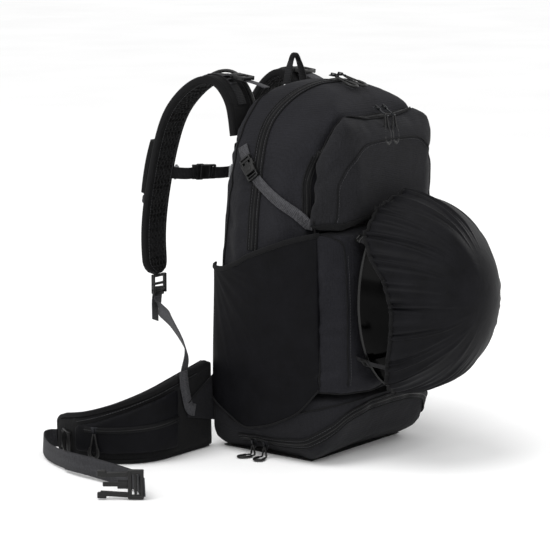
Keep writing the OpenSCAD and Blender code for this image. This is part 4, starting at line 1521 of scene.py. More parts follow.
# ---------- helmet and its carrier ----------
@dataclass
class HelmetCarrier:
    """The stowed helmet, the gathered stretch cover over it, its elastic hem and its hooks."""

    middle: Point = (0.0, -152.0, 230.65)
    wide: float = 108.0
    deep: float = 134.0
    tall: float = 134.0
    cover_off: float = 2.6
    gathers: int = 64
    hem_up: tuple[tuple[float, Point], ...] = (
        (0, (106, -203, 231)), (18, (107, -192, 264)), (30, (104, -168, 293)), (42, (92, -150, 318)),
        (62, (60, -148, 350)), (90, (0, -148, 367)))
    hem_down: tuple[tuple[float, Point], ...] = (
        (0, (104, -203, 231)), (18, (105, -203, 195)), (34, (102, -196, 152)), (48, (90, -186, 123)),
        (66, (52, -172, 104)), (90, (0, -160, 97)))
    body: str = "helmet_carrier"

    def build(self) -> None:
        """Makes the helmet, the cover and the hooks."""
        self.helmet()
        self.cover()
        self.hooks()

    def dome(self, angle: float, fall: float, off: float) -> Vector:
        """A point of the dome: angle round it, fall from its crown, both in radians, off its surface.

        Args:
            angle: The angle round the dome.
            fall: The fall from its crown.
            off: The distance off its surface, in millimetres.

        Returns:
            The point, in metres.
        """
        a, b, c = self.wide + off, self.deep + off, self.tall + off
        x, y, z = self.middle
        return mm(x + a * math.sin(fall) * math.cos(angle), y - b * math.cos(fall),
                  z + c * math.sin(fall) * math.sin(angle))

    def helmet(self) -> None:
        """Makes the glossy shell with three grooves round it and its rolled brim."""
        def shell(u: float, v: float) -> Vector:
            """A point of the shell, whose brim runs over its edge.

            Args:
                u: The share of the way round.
                v: The share from the crown to the brim.

            Returns:
                The point, in metres.
            """
            fall = math.radians(1 + 89 * v)
            groove = 0.0
            for at in (0.45, 0.62, 0.80):
                groove -= 2.2 * bell(v - at, 0.018)
            return self.dome(2 * math.pi * u, fall, groove - 0.6)

        obj = grid("helmet_shell_gloss", 96, 48, shell)
        tidy_mesh(obj)
        modify(obj, "SOLIDIFY", thickness=2.6 * MM, offset=-1.0)
        smooth(obj, WEBBING_EDGE)
        fit(obj, self.body, "helmet_gloss", Finish.GLOSS, stands_for=["helmet_shell"])
        rim = [self.dome(2 * math.pi * k / 96, math.radians(90), -1.4) for k in range(96)]
        trim = sweep("helmet_brim", rim, Vector((0, 1, 0)), flat_section(4.5 * MM, 5.0 * MM), closed=True)
        smooth(trim, CLOTH_EDGE)
        fit(trim, self.body, "helmet_gloss", Finish.ACETAL)

    def hem(self, angle: float) -> Vector:
        """The hem's place at an angle: pulled to the pack at the top, standing off at the sides.

        Args:
            angle: The angle round the helmet, in radians.

        Returns:
            The point of the hem, in metres.
        """
        turn = abs(math.degrees(math.atan2(math.sin(angle), abs(math.cos(angle)))))
        points = self.hem_up if math.sin(angle) >= 0 else self.hem_down
        for (a, p), (b, q) in zip(points, points[1:]):
            if a <= turn <= b:
                t = (turn - a) / (b - a)
                t = smooth_step(t)
                x, y, z = (u + (w - u) * t for u, w in zip(p, q))
                return mm(math.copysign(x, math.cos(angle)), y, z)
        return mm(*points[-1][1])

    def hem_fall(self, angle: float) -> float:
        """How far down the dome the hem lies at an angle."""
        share = (self.middle[1] - self.hem(angle).y / MM) / (self.deep + self.cover_off)
        return math.acos(min(0.98, max(0.04, share)))

    def outside(self, spot: Vector, clear: float) -> Vector:
        """Moves a point that would lie in the helmet out to its surface and a clearance more.

        Args:
            spot: The point, in metres.
            clear: The clearance.

        Returns:
            The point itself, or the one that it moves to.
        """
        x, y, z = (v / MM - m for v, m in zip(spot, self.middle))
        if y > 0:
            return spot
        size = math.sqrt((x / (self.wide + clear)) ** 2 + (y / (self.deep + clear)) ** 2
                         + (z / (self.tall + clear)) ** 2)
        if size >= 1.0 or size < 0.5:
            return spot
        return mm(*(m + v / size for m, v in zip(self.middle, (x, y, z))))

    def cover(self) -> None:
        """Makes the gathered cloth and its hem."""
        rng = random.Random(23)
        pleats: list[tuple[float, float, float, float]] = []
        for k in range(self.gathers):
            at = 2 * math.pi * (k + rng.uniform(-0.3, 0.3)) / self.gathers
            pleats.append((at, rng.uniform(3.4, 7.0), rng.uniform(0.014, 0.024), rng.uniform(0.12, 0.46)))
        creases = [(rng.uniform(0, 2 * math.pi), rng.uniform(0.25, 0.7), rng.uniform(0.8, 1.5),
                    rng.uniform(-0.5, 0.5)) for _ in range(14)]

        def calm(share: float, low: float, high: float) -> float:
            """A smooth step, which keeps the crown free of folds."""
            t = min(1.0, max(0.0, (share - low) / (high - low)))
            return smooth_step(t)

        def off(angle: float, share: float) -> float:
            """How far the cloth stands off the dome there.

            Args:
                angle: The angle round the dome, in radians.
                share: The share from the crown to the hem.

            Returns:
                The distance, in millimetres.
            """
            out = self.cover_off
            for at, high, wide, far in pleats:
                away = wrapped(angle - at)
                if abs(away) < 4 * wide:
                    fade = math.exp(-((1 - share) / far) ** 1.6) * calm(share, 0.3, 0.6)
                    out += high * fade * bell(away, wide)
            for at, mid, high, lean in creases:
                away = wrapped(angle - at - lean * (share - mid))
                out += high * bell(away, 0.05) * bell(share - mid, 0.22) * calm(share, 0.2, 0.5)
            ridge = wrapped(angle - 2.0)
            across = bell(ridge, 0.16)
            along = bell(share - 0.55, 0.3)
            out += 3.2 * calm(share, 0.1, 0.4) * across * along
            tuck = max(0.0, (share - 0.93) / 0.07)
            return out - 2.0 * tuck * tuck

        def cloth(u: float, v: float) -> Vector:
            """A point of the cover.

            Args:
                u: The share of the way round.
                v: The share from the crown to the hem.

            Returns:
                The point, in metres.
            """
            angle = 2 * math.pi * u
            fall = max(0.004, v) * self.hem_fall(angle)
            spot = self.dome(angle, fall, off(angle, v))
            ease = min(1.0, max(0.0, (v - 0.5) / 0.5))
            shift = self.hem(angle) - self.dome(angle, self.hem_fall(angle), self.cover_off)
            spot += shift * smooth_step(ease)
            return self.outside(spot, 1.8 if v < 0.995 else 1.4)

        obj = grid("helmet_cover_cloth", 400, 64, cloth)
        tidy_mesh(obj, cap=False)
        if obj.data.polygons[len(obj.data.polygons) // 2].normal.dot(
                obj.data.polygons[len(obj.data.polygons) // 2].center - mm(*self.middle)) < 0:
            obj.data.flip_normals()
        pick(obj)
        bpy.ops.object.mode_set(mode="EDIT")
        bpy.ops.mesh.select_all(action="DESELECT")
        bpy.ops.object.mode_set(mode="OBJECT")
        crown = self.dome(0, 0, self.cover_off)
        for vertex in obj.data.vertices:
            vertex.select = (vertex.co - crown).length < 2.5 * MM
        bpy.ops.object.mode_set(mode="EDIT")
        bpy.ops.mesh.merge(type="CENTER")
        bpy.ops.object.mode_set(mode="OBJECT")
        modify(obj, "SOLIDIFY", thickness=1.2 * MM, offset=-1.0)
        shade_all(obj)
        fit(obj, self.body, "stretch_cloth", Finish.COVER, stands_for=["helmet_cover"])
        count = 220
        hem_path, hem_scale = [], []
        for k in range(count):
            angle = 2 * math.pi * k / count
            hem_path.append(cloth(k / count, 1.0))
            hem_scale.append(1.0 + 0.16 * math.sin(k * 2.9) + rng.uniform(-0.08, 0.08))
        hem = sweep("helmet_cover_hem", hem_path, Vector((0, 1, 0)), round_section(3.0 * MM, 10),
                    closed=True, scales=hem_scale)
        smooth(hem, 70)
        fit(hem, self.body, "stretch_cloth", Finish.LINING)

    def hooks(self) -> None:
        """Makes the four webbing tabs and their moulded hooks."""
        for side in Side:
            for up in (-1, 1):
                angle = math.atan2(up * math.sin(math.radians(38)), side.value * math.cos(math.radians(38)))
                start = self.hem(angle)
                root = mm(side.value * 84, -134, 230.6 + up * 82)
                out = Vector((side.value * 0.8, -0.2, up * 0.6)).normalized()
                path = curve_through([root, root.lerp(start, 0.5) + out * 2 * MM, start], 4 * MM)
                tag = f"{side.word}_{'top' if up > 0 else 'low'}"
                strap = sweep(f"cover_tab_{tag}", path, out, flat_section(9 * MM, 1.5 * MM))
                smooth(strap, WEBBING_EDGE)
                fit(strap, self.body, "trim", Finish.DARK_WEB, stands_for=["cover_hooks"])
                hook = join(f"cover_hook_{tag}", boxes(
                    ((-6, -7, -2), (6, -3.5, 2), 1.2, 3), ((-6, 3.5, -2), (6, 7, 2), 1.2, 3),
                    ((-6, -7, -2), (-3, 7, 2), 1.2, 3), ((3, -7, -2), (6, 2, 2), 1.2, 3)))
                smooth(hook, MOULDED_EDGE)
                way = (path[-1] - path[0]).normalized()
                placed(hook, path[len(path) // 3] + out * 1.2 * MM, way, out)
                fit(hook, self.body, "trim", Finish.ACETAL)


# ---------- shoulder harness ----------
@dataclass
class ShoulderHarness:
    """Both shoulder straps with their trims, webbing, sternum strap, trigger pocket and handle."""

    width: float = 48.0
    thick: float = 12.0
    middle: float = 74.0
    base_y: float = 70.8
    tall: float = 516.0
    shares: tuple[tuple[float, float], ...] = (
        (0, 0.845), (8, 0.93), (29, 0.982), (57, 0.987), (91, 0.95), (121, 0.885), (141, 0.79),
        (157, 0.66), (164, 0.56), (163, 0.475), (157, 0.435))
    body: str = "harness"

    def reach(self, side: Side) -> float:
        """How far a strap reaches out, as a share of the left one's reach."""
        return 1.0 if side is Side.LEFT else 0.74

    def line(self, side: Side, step: float = 5.0, lift: float = 0.0) -> list[Vector]:
        """The middle line of a strap, moved outwards by lift, in metres.

        Args:
            side: The wearer's side.
            step: The spacing of its points.
            lift: The distance outwards.

        Returns:
            The line's points, in metres.
        """
        x = side.value * self.middle
        path = curve_through([mm(x, self.base_y + y * self.reach(side), z * self.tall)
                              for y, z in self.shares], step * MM)
        if lift:
            return [p + n * lift * MM for p, n in zip(path, self.outs(path))]
        return path

    @staticmethod
    def outs(path: Sequence[Vector]) -> list[Vector]:
        """The direction away from the wearer at each point of a strap."""
        return [Vector((0, -t.z, t.y)) for t in tangents(path)]

    def build(self) -> None:
        """Makes both straps and all that is on them."""
        for side in Side:
            self.strap(side)
            self.lifter(side)
            self.lower(side)
        self.sternum()
        self.trigger()

    def strap(self, side: Side) -> None:
        """Makes one padded strap: foam core, bound edges, spacer mesh inside, webbing outside.

        Args:
            side: The wearer's side.
        """
        path = self.line(side)
        ups = self.outs(path)
        n = len(path)
        swell = [1.0 + 0.10 * bell(i / n - 0.28, 0.18) - 0.06 * (i / n) ** 3 for i in range(n)]
        core = sweep(f"strap_core_{side.word}", path, ups, flat_section(self.width * 0.93 * MM,
                     (self.thick - 1) * MM, 0.45, 5), scales=swell)
        smooth(core, CLOTH_EDGE)
        fit(core, self.body, "pad_mesh", Finish.FACING, stands_for=[f"strap_{side.word}"])
        for k, edge in enumerate((-1, 1)):
            rail = [p + t.cross(u).normalized() * edge * (self.width / 2 - 2.6) * s * MM
                    for p, t, u, s in zip(path, tangents(path), ups, swell)]
            tape = sweep(f"strap_binding_{side.word}_{k}", rail, ups,
                         flat_section(5.6 * MM, self.thick * 0.86 * MM, 0.35, 4))
            smooth(tape, CLOTH_EDGE)
            fit(tape, self.body, "pad_mesh", Finish.LINING)
            row = [p + t.cross(u).normalized() * edge * (self.width / 2 - 6.3) * s * MM
                   - u * (self.thick / 2 - 0.1) * MM
                   for p, t, u, s in zip(path, tangents(path), ups, swell)]
            fit(stitches(f"strap_thread_{side.word}_{k}", row, [-u for u in ups]), self.body, "trim",
                Finish.THREAD)
        self.mesh_face(side, path, ups)
        self.round_tip(side)
        rail = self.line(side, lift=self.thick / 2 + 0.4)
        keep = rail[8:-3] if side is Side.RIGHT else rail[8:int(n * 0.52)]
        ways = self.outs(keep)
        daisy = sweep(f"strap_daisy_{side.word}", keep, ways, flat_section(16 * MM, 1.6 * MM))
        smooth(daisy, WEBBING_EDGE)
        fit(daisy, self.body, "webbing", Finish.DARK_WEB)
        for k in range(6, len(keep) - 4, 7):
            across = tangents(keep)[k].cross(ways[k]).normalized()
            tack = [keep[k] + across * s * MM + ways[k] * 0.9 * MM for s in (-7, 0, 7)]
            bar = sweep(f"strap_tack_{side.word}_{k}", tack, ways[k], flat_section(2.4 * MM, 0.9 * MM))
            fit(bar, self.body, "trim", Finish.THREAD)

    def round_tip(self, side: Side, reach: float = 24.0) -> None:
        """Rounds the lower end of a strap and of all that follows its edges.

        Args:
            side: The wearer's side.
            reach: The length that the rounding takes.
        """
        tip = self.line(side)[-1]
        way = tangents(self.line(side))[-1]
        across = Vector((1, 0, 0))
        tags = ("core", "binding", "thread", "mesh")
        for obj in bpy.data.objects:
            if not any(obj.name.startswith(f"strap_{tag}_{side.word}") for tag in tags):
                continue
            for vertex in obj.data.vertices:
                left = (tip - vertex.co).dot(way) / MM
                if left < reach and (vertex.co - tip).length < 60 * MM:
                    share = max(0.12, math.sqrt(max(0.0, 1 - ((reach - max(left, 0.0)) / reach) ** 2.4)))
                    aside = (vertex.co - tip).dot(across)
                    vertex.co -= across * aside * (1 - share)

    def mesh_face(self, side: Side, path: Sequence[Vector], ups: Sequence[Vector]) -> None:
        """Makes the knitted mesh on the strap's inner face, with its diamond hollows.

        Args:
            side: The wearer's side.
            path: The strap's middle line, in metres.
            ups: The direction outwards at each point.
        """
        ways = tangents(path)
        last = len(path) - 1
        wide = (self.width - 13) * MM
        length = sum((b - a).length for a, b in zip(path, path[1:]))

        def place(u: float, v: float) -> Vector:
            """A point of the mesh.

            Args:
                u: The share across the strap.
                v: The share along it.

            Returns:
                The point, in metres.
            """
            k = v * last
            i = min(int(k), last - 1)
            spot = path[i].lerp(path[i + 1], k - i)
            up = ups[i].lerp(ups[i + 1], k - i).normalized()
            across = ways[i].lerp(ways[i + 1], k - i).cross(up).normalized()
            side_on = (u - 0.5) * wide
            turn, run = side_on * 430, v * length * 300
            cell = abs(math.sin(turn + run) * math.sin(turn - run))
            edge = min(1.0, min(u, 1 - u) * 12)
            rise = self.thick / 2 - 0.6 + edge * (1.9 - 1.7 * cell ** 0.7)
            return spot + across * side_on - up * rise * MM

        mesh = grid(f"strap_mesh_{side.word}", 30, int(length / (1.6 * MM)), place)
        middle = mesh.data.polygons[len(mesh.data.polygons) // 2]
        if middle.normal.dot(ups[last // 2]) > 0:
            mesh.data.flip_normals()
        modify(mesh, "SOLIDIFY", thickness=1.2 * MM, offset=-1.0)
        smooth(mesh, 70)
        fit(mesh, self.body, "pad_mesh", Finish.MESH)

    def lifter(self, side: Side) -> None:
        """Makes the load lifter: its webbing, its ladder lock and the loose tail.

        Args:
            side: The wearer's side.
        """
        s = side.value
        over = curve_through(points_mm([(-72, 98, 507.5), (-72, 90, 512.5), (-69, 70, 510.5),
                                        (-65, 52, 506.5), (-62, 38, 502)], side), 4 * MM)
        web = sweep(f"lifter_web_{side.word}", over, Vector((0, 0.1, 1)), flat_section(17 * MM, 1.6 * MM))
        tail = curve_through(points_mm([(-70.5, 80, 515.5), (-71.5, 92, 517), (-73, 104, 515),
                                        (-74, 114, 509)], side), 4 * MM)
        loose = sweep("tail", tail, Vector((0, 0.3, 1)), flat_section(16 * MM, 1.5 * MM))
        webbing = join(f"lifter_web_{side.word}", [web, loose])
        smooth(webbing, WEBBING_EDGE)
        WARDROBE.dress(webbing, Finish.WEBBING)
        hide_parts("lifter_webbing")
        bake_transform(webbing)
        lock = ladder_lock(f"lifter_lock_{side.word}", 25, 26, 6)
        placed(lock, mm(s * 70, 76, 514.6), Vector((0, 1, 0.12)), Vector((0, 0, 1)))
        fit(lock, "pack", "trim", Finish.ACETAL, stands_for=["lifter_locks"])

    def lower(self, side: Side) -> None:
        """Makes the ladder lock at the strap's end and the webbing down to the wing.

        Args:
            side: The wearer's side.
        """
        tip = self.line(side)[-1] / MM
        s = side.value
        lock = ladder_lock(f"strap_lock_{side.word}", 28, 31, 6)
        placed(lock, mm(s * self.middle, tip.y - 2, tip.z - 15.5), Vector((0, 0, -1)), Vector((0, 1, 0)))
        fit(lock, self.body, "trim", Finish.ACETAL, stands_for=["strap_ladder_locks"])
        foot = [(s * self.middle, tip.y - 1.5, tip.z - 18), (s * (self.middle + 6), tip.y - 6, tip.z - 46),
                (s * 116, 0.5 * (tip.y + 96) + 8, 170), (s * 150, 112, 140), (s * 173, 97, 112),
                (s * 179, 92, 92)]
        run = curve_through([mm(*p) for p in foot], 5 * MM)
        out = Vector((0, 1, 0.25)).normalized()
        web = sweep(f"lower_web_{side.word}", run, out, NARROW_WEB)
        tail = curve_through([mm(s * self.middle, tip.y + 2.5, tip.z - 22),
                              mm(s * (self.middle + 3), tip.y + 3, tip.z - 44),
                              mm(s * (self.middle + 10), tip.y - 3, tip.z - 66)], 4 * MM)
        loose = sweep("tail", tail, out, flat_section(16 * MM, 1.6 * MM))
        web = join(f"lower_web_{side.word}", [web, loose])
        smooth(web, WEBBING_EDGE)
        WARDROBE.dress(web, Finish.WEBBING)
        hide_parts("lower_webbing")
        mm(s * self.middle, tip.y, tip.z - 20)
        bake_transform(web)

    def sternum(self) -> None:
        """Makes the sternum strap: webbing, closed buckle, folded tabs and edge clips."""
        n = len(self.line(Side.LEFT)) - 1
        left = self.line(Side.LEFT)[round(0.66 * n)]
        other = self.line(Side.RIGHT)
        right = other[round(0.66 * (len(other) - 1))]
        up = Vector((0, 1, 0.12)).normalized()
        a, b = left + Vector((25 * MM, 0, 0)), right - Vector((25 * MM, 0, 0))
        middle = (a + b) / 2
        first = curve_through([a, a.lerp(middle, 0.5) - Vector((0, 0, 2 * MM)), middle], 4 * MM)
        second = curve_through([middle, b.lerp(middle, 0.5) - Vector((0, 0, 2 * MM)), b], 4 * MM)
        web = join("sternum_web", [sweep("one", first, up, NARROW_WEB),
                                   sweep("two", second, up, NARROW_WEB),
                                   sweep("fold", [p + up * 2.2 * MM for p in first[2:-3]], up,
                                         flat_section(16 * MM, 1.5 * MM))])
        smooth(web, WEBBING_EDGE)
        fit(web, "sternum_strap", "webbing", Finish.DARK_WEB, stands_for=["sternum_webbing"])
        buckle = SideRelease(21, 38, 8).build("sternum_clasp")
        placed(buckle, middle + up * 0.5 * MM, (b - a).normalized(), up)
        fit(buckle, "sternum_strap", "trim", Finish.ACETAL, stands_for=["sternum_buckle"])
        for side, spot in ((Side.LEFT, a), (Side.RIGHT, b)):
            inward = -side.value
            parts = boxes(((-9, -4.5, -2.2), (9, 4.5, 2.2), 1.3, 3), ((-11, -2, -1.2), (-8, 2, 1.2), 0.8),
                          ((8, -2, -1.2), (11, 2, 1.2), 0.8))
            for k in range(4):
                parts.append(turned(0.9, (-5.4 + 3.6 * k, 0, 2.0), (-5.4 + 3.6 * k, 0, 2.8), 10, 0.3))
            clip = join(f"sternum_clip_{side.word}", parts)
            smooth(clip, MOULDED_EDGE)
            placed(clip, spot + Vector((inward * 9.5 * MM, 0, 0)), Vector((inward, 0, 0)), up)
            fit(clip, "sternum_strap", "trim", Finish.GREY_CLIP)

    def trigger(self) -> None:
        """Makes the trigger's pocket, its flap seams, the handle and the cable on the strap."""
        path = self.line(Side.LEFT, step=4.0)
        n = len(path) - 1
        a, b = round(0.56 * n), round(0.74 * n)
        lift = self.thick / 2 + 1.0
        part = [p + u * (lift + 6.0) * MM for p, u in zip(path[a:b], self.outs(path)[a:b])]
        ups = self.outs(part)
        section = flat_section(35 * MM, 13 * MM, 0.42, 6)
        swell = [0.9 + 0.1 * math.sin(math.pi * i / (len(part) - 1)) for i in range(len(part))]
        pouch = sweep("trigger_pouch", part, ups, section, scales=swell)
        smooth(pouch, CLOTH_EDGE)
        fit(pouch, self.body, "base_cloth", Finish.FACING, stands_for=["trigger_garage"])
        for k, edge in enumerate((-1, 1)):
            rail = [p + t.cross(u).normalized() * edge * 16.6 * s * MM - u * 3.0 * MM
                    for p, t, u, s in zip(part, tangents(part), ups, swell)]
            cord = sweep(f"trigger_pouch_seam_{k}", rail, ups, round_section(1.4 * MM, 8))
            fit(cord, self.body, "base_cloth", Finish.LINING)
        self.handle(part, ups)
        cable = []
        for i in range(2, a + 1):
            ease = min(1.0, max(0.0, (i - a * 0.55) / (a * 0.3)))
            u = self.outs(path)[i]
            cable.append(path[i] + Vector(((21.5 - 14 * ease) * MM, 0, 0)) + u * (self.thick / 2 + 3.2) * MM)
        tube = sweep("trigger_housing", cable, self.outs(cable), round_section(2.5 * MM, 10))
        smooth(tube, CLOTH_EDGE)
        fit(tube, self.body, "trim", Finish.ACETAL, stands_for=["trigger_cable_strap"])

    @staticmethod
    def handle(part: Sequence[Vector], ups: Sequence[Vector]) -> None:
        """Makes the T-shaped trigger handle, stowed with its grip out of the pouch's lower end.

        Args:
            part: The stretch of the strap's line that the handle lies on, in metres.
            ups: The direction outwards at each point.
        """
        end = part[-1]
        way = (part[-1] - part[-4]).normalized()
        ribs = [((-9, -50 + 11 * k, 3.0), (9, -46 + 11 * k, 4.0), 0.5) for k in range(4)]
        grip = join("trigger_grip", boxes(((-12, -58, -3.4), (12, 2, 3.4), 2.4, 4),
                                          ((-13, 1, -4.0), (13, 14, 4.0), 3.2, 4), *ribs))
        smooth(grip, MOULDED_EDGE)
        placed(grip, end + way * 2 * MM, way, ups[-1])
        fit(grip, "trigger", "trigger_plastic", Finish.TRIGGER, stands_for=["trigger_handle"])


@dataclass
class HaulLoop:
    """The haul loop at the top: a folded and bound webbing loop."""

    def build(self) -> None:
        """Makes the loop and its sewn waist."""
        loop = curve_through([mm(-19, 37, 503), mm(-17, 37, 514), mm(-12, 37.5, 528), mm(-5, 38, 541),
                              mm(0, 38, 543.8), mm(5, 38, 541), mm(12, 37.5, 528), mm(17, 37, 514),
                              mm(19, 37, 503)], 2.5 * MM)
        n = len(loop)
        roll = [1.0 - 0.45 * bell(i / (n - 1) - 0.5, 0.22) for i in range(n)]
        ways = tangents(loop)
        ups = [Vector((-t.z, 0, t.x)) * -1 for t in ways]
        band = sweep("haul_band", loop, ups, flat_section(12 * MM, 3.0 * MM), scales=roll)
        smooth(band, CLOTH_EDGE)
        fit(band, "grab_loop", "trim", Finish.DARK_WEB, stands_for=["haul_loop"])
        wrap = sweep("haul_wrap", loop[n // 2 - 5:n // 2 + 6], ups[n // 2 - 5:n // 2 + 6],
                     flat_section(8.4 * MM, 4.6 * MM, 0.5, 4))
        smooth(wrap, CLOTH_EDGE)
        fit(wrap, "grab_loop", "trim", Finish.LINING)


# ---------- hip belt ----------
@dataclass
class HipBelt:
    """Both hip fins with their pockets, zips, ladder locks, webbing and buckle halves."""

    root: tuple[float, float] = (112.0, 101.3)
    bend: tuple[float, float] = (211.0, 175.3)
    radius: float = 74.0
    height: float = 122.0
    fall: tuple[float, float] = (0.20, 0.28)
    fin: Stuffing = field(default_factory=lambda: Stuffing(voxel=4.0 * MM, cap=3.5 * MM, rounding=6,
                                                           shrink=0.8 * MM, pressure=3.0))
    pouch: Stuffing = field(default_factory=lambda: Stuffing(voxel=3.2 * MM, cap=3.0 * MM, rounding=8,
                                                             shrink=0.5 * MM, pressure=3.0))
    left_route: tuple[tuple[float, float], ...] = (
        (258, 243), (264, 247.5), (275, 256), (292, 250), (318, 222), (338, 182), (352, 139), (356, 95),
        (358, 50), (370, 10), (386, -11), (393, -22))
    right_route: tuple[tuple[float, float], ...] = (
        (258, 243), (264, 247.5), (275, 256), (294, 251), (318, 228), (328, 196), (326, 152))

    def top(self, x: float, y: float) -> float:
        """The height of a fin's top edge at a place in plan, for the right side."""
        return self.height - self.fall[0] * (x - self.root[0]) - self.fall[1] * (y - self.root[1])

    def rounded(self, x: float, y: float, z: float, reach: float = 28.0) -> float:
        """The height of a place on the fin once its tip is rounded.

        Args:
            x: The place's X.
            y: Its Y.
            z: Its height before.
            reach: The length of the tip that the rounding takes.

        Returns:
            The height.
        """
        left = 0.832 * (244 - y) - 0.555 * (262 - x)
        if x < 235 or y < 190 or left > reach:
            return z
        share = math.sqrt(max(0.0, 1 - ((reach - max(0.0, left)) / reach) ** 2))
        middle = self.top(x, y) / 2
        return middle + (z - middle) * max(0.06, share)

    def plan(self, off: float) -> list[tuple[float, float]]:
        """The fin's line in plan for the right side, moved outwards by off.

        Args:
            off: The distance outwards, in millimetres.

        Returns:
            The line's points (x, y), in millimetres.
        """
        r = self.radius + off
        arc = [(self.bend[0] + r * math.cos(math.radians(a)), self.bend[1] + r * math.sin(math.radians(a)))
               for a in range(-90, 10, 9)]
        return [(122.0, self.root[1] - off), (150.0, self.root[1] - off), (180.0, self.root[1] - off),
                *arc, (277 + off * 0.8, 214.0), (268 + off * 0.75, 236.0)]

    def build(self) -> None:
        """Makes both halves of the belt."""
        for side in Side:
            body = f"{side.word}_fin"
            fin = stuffed(f"fin_{side.word}", f"fin_pad_{side.word}", self.fin)
            for vertex in fin.data.vertices:
                vertex.co.z = self.rounded(abs(vertex.co.x) / MM, vertex.co.y / MM, vertex.co.z / MM) * MM
            fit(fin, body, "pad_mesh", Finish.FACING, Finish.MESH, stands_for=[f"fin_{side.word}"])
            self.mesh_inner(fin, side)
            pouch = stuffed(f"fin_pocket_{side.word}", f"fin_pouch_{side.word}", self.pouch)
            fit(pouch, body, "base_cloth", Finish.SIDE, stands_for=[f"fin_pocket_{side.word}"])
            self.edges(side, body)
            self.zip(side, body, pouch)
            self.webbing(side, body)
            self.wing(side)
        self.male()
        self.female()

    def mesh_inner(self, fin: bpy.types.Object, side: Side) -> None:
        """Gives the fin's inner face, towards the wearer's hip, its spacer mesh.

        Args:
            fin: The fin's pad, which changes.
            side: The wearer's side.
        """
        for polygon in fin.data.polygons:
            x, y = abs(polygon.center.x), polygon.center.y
            centre = Vector((self.bend[0] * MM, self.bend[1] * MM + 0.02, 0))
            towards = Vector((centre.x - x, centre.y - y, 0))
            if x < self.bend[0] * MM:
                towards = Vector((0, 1, 0))
            normal = Vector((polygon.normal.x * side.value, polygon.normal.y, 0))
            if normal.dot(towards.normalized()) > 0.45:
                polygon.material_index = 1

    def edges(self, side: Side, body: str) -> None:
        """Makes the bound top and bottom edges of a fin.

        Args:
            side: The wearer's side.
            body: The body that it moves with.
        """
        s = side.value
        plan = curve_through([mm(s * x, y, 0) for x, y in self.plan(0.0)] + [mm(s * 263.0, 242.4, 0)], 3 * MM)
        faces = [Vector((t.y, -t.x, 0)).normalized() for t in tangents(plan)]
        run: list[Vector] = []
        ups: list[Vector] = []
        for high in (True, False):
            for p, face in (zip(plan, faces) if high else zip(reversed(plan), reversed(faces))):
                x, y = abs(p.x) / MM, p.y / MM
                z = self.rounded(x, y, self.top(x, y) - 1.2 if high else 3.4)
                run.append(Vector((p.x, p.y, z * MM)))
                ups.append(face)
        tape = sweep(f"fin_binding_{side.word}", run, ups, flat_section(7 * MM, 14.5 * MM, 0.42, 5))
        smooth(tape, CLOTH_EDGE)
        fit(tape, body, "pad_mesh", Finish.LINING)
        line = curve_through([mm(s * x, y, self.top(x, y) - 8) for x, y in self.plan(7.6)[:-2]], 4 * MM)
        ups = [Vector((t.y, -t.x, 0)).normalized() * s for t in tangents(line)]
        fit(stitches(f"fin_thread_{side.word}", line, ups), body, "trim", Finish.THREAD)

    def zip(self, side: Side, body: str, pouch: bpy.types.Object) -> None:
        """Lays the pocket's zip along its face.

        Args:
            side: The wearer's side.
            body: The body that it moves with.
            pouch: The pocket's cloth.
        """
        r = self.radius + 17
        turns = ((-6, 48), (-16, 48), (-40, 49), (-66, 51), (-84, 54))
        line = [(self.bend[0] + r * math.cos(math.radians(a)),
                 self.bend[1] + r * math.sin(math.radians(a)), z) for a, z in turns]
        line.append((199.0, self.root[1] - 17, 57))
        points = [mm(side.value * x, y, z) for x, y, z in line]
        CoilZip(f"fin_zip_{side.word}", points, body, tape=9.0, lift=0.7, edge_cord=False).build(Skin(pouch))

    def webbing(self, side: Side, body: str) -> None:
        """Makes the belt's webbing, standing on its edge, its ladder lock and its doubled end.

        Args:
            side: The wearer's side.
            body: The body that it moves with.
        """
        s = side.value
        route = self.left_route if side is Side.LEFT else self.right_route
        flat = curve_through([mm(s * x, y, 14.6) for x, y in route], 5 * MM)
        count = len(flat)
        line = [p + Vector((0, 0, 1.3 * MM * math.sin(i * 0.21) + 1.2 * MM)) for i, p in enumerate(flat)]
        ups = [(Vector((t.y, -t.x, 0)).normalized() + Vector((0, 0, 0.05 * math.sin(i * 0.17)))).normalized()
               for i, t in enumerate(tangents(line))]
        web = [sweep("run", line, ups, flat_section(25.5 * MM, 1.9 * MM))]
        if side is Side.LEFT:
            cut = int(count * 0.44)
            second = [p + u * 3.0 * MM for p, u in zip(line[cut:-2], ups[cut:-2])]
            web.append(sweep("ply", second, ups[cut:-2], flat_section(25 * MM, 1.8 * MM)))
        belt = join(f"belt_web_{side.word}", web)
        smooth(belt, WEBBING_EDGE)
        fit(belt, body, "webbing", Finish.BELT, stands_for=[f"belt_webbing_{side.word}"])
        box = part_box(f"fin_lock_{side.word}")
        lock = ladder_lock(f"fin_ladder_{side.word}", 32, 32, 6)
        way = Vector((-0.55 * s, 0.83, 0))
        placed(lock, (box[0] + box[1]) / 2, way, Vector((0.83 * s, 0.55, 0)))
        fit(lock, body, "trim", Finish.ACETAL, stands_for=[f"fin_lock_{side.word}"])

    @staticmethod
    def wing(side: Side) -> None:
        """Makes the sewn wing that the shoulder strap's webbing comes from, and its tail.

        Args:
            side: The wearer's side.
        """
        s = side.value

        def place(u: float, v: float) -> Vector:
            """A point of the wing.

            Args:
                u: The share outwards along the wing.
                v: The share up its height.

            Returns:
                The point, in metres.
            """
            low, high = 37 + 15 * u, 106 - 34 * u
            bulge = 1.2 * math.sin(math.pi * v) * (1 - u)
            return mm(s * (112 + 62 * u), 90.5 - bulge, low + (high - low) * v)

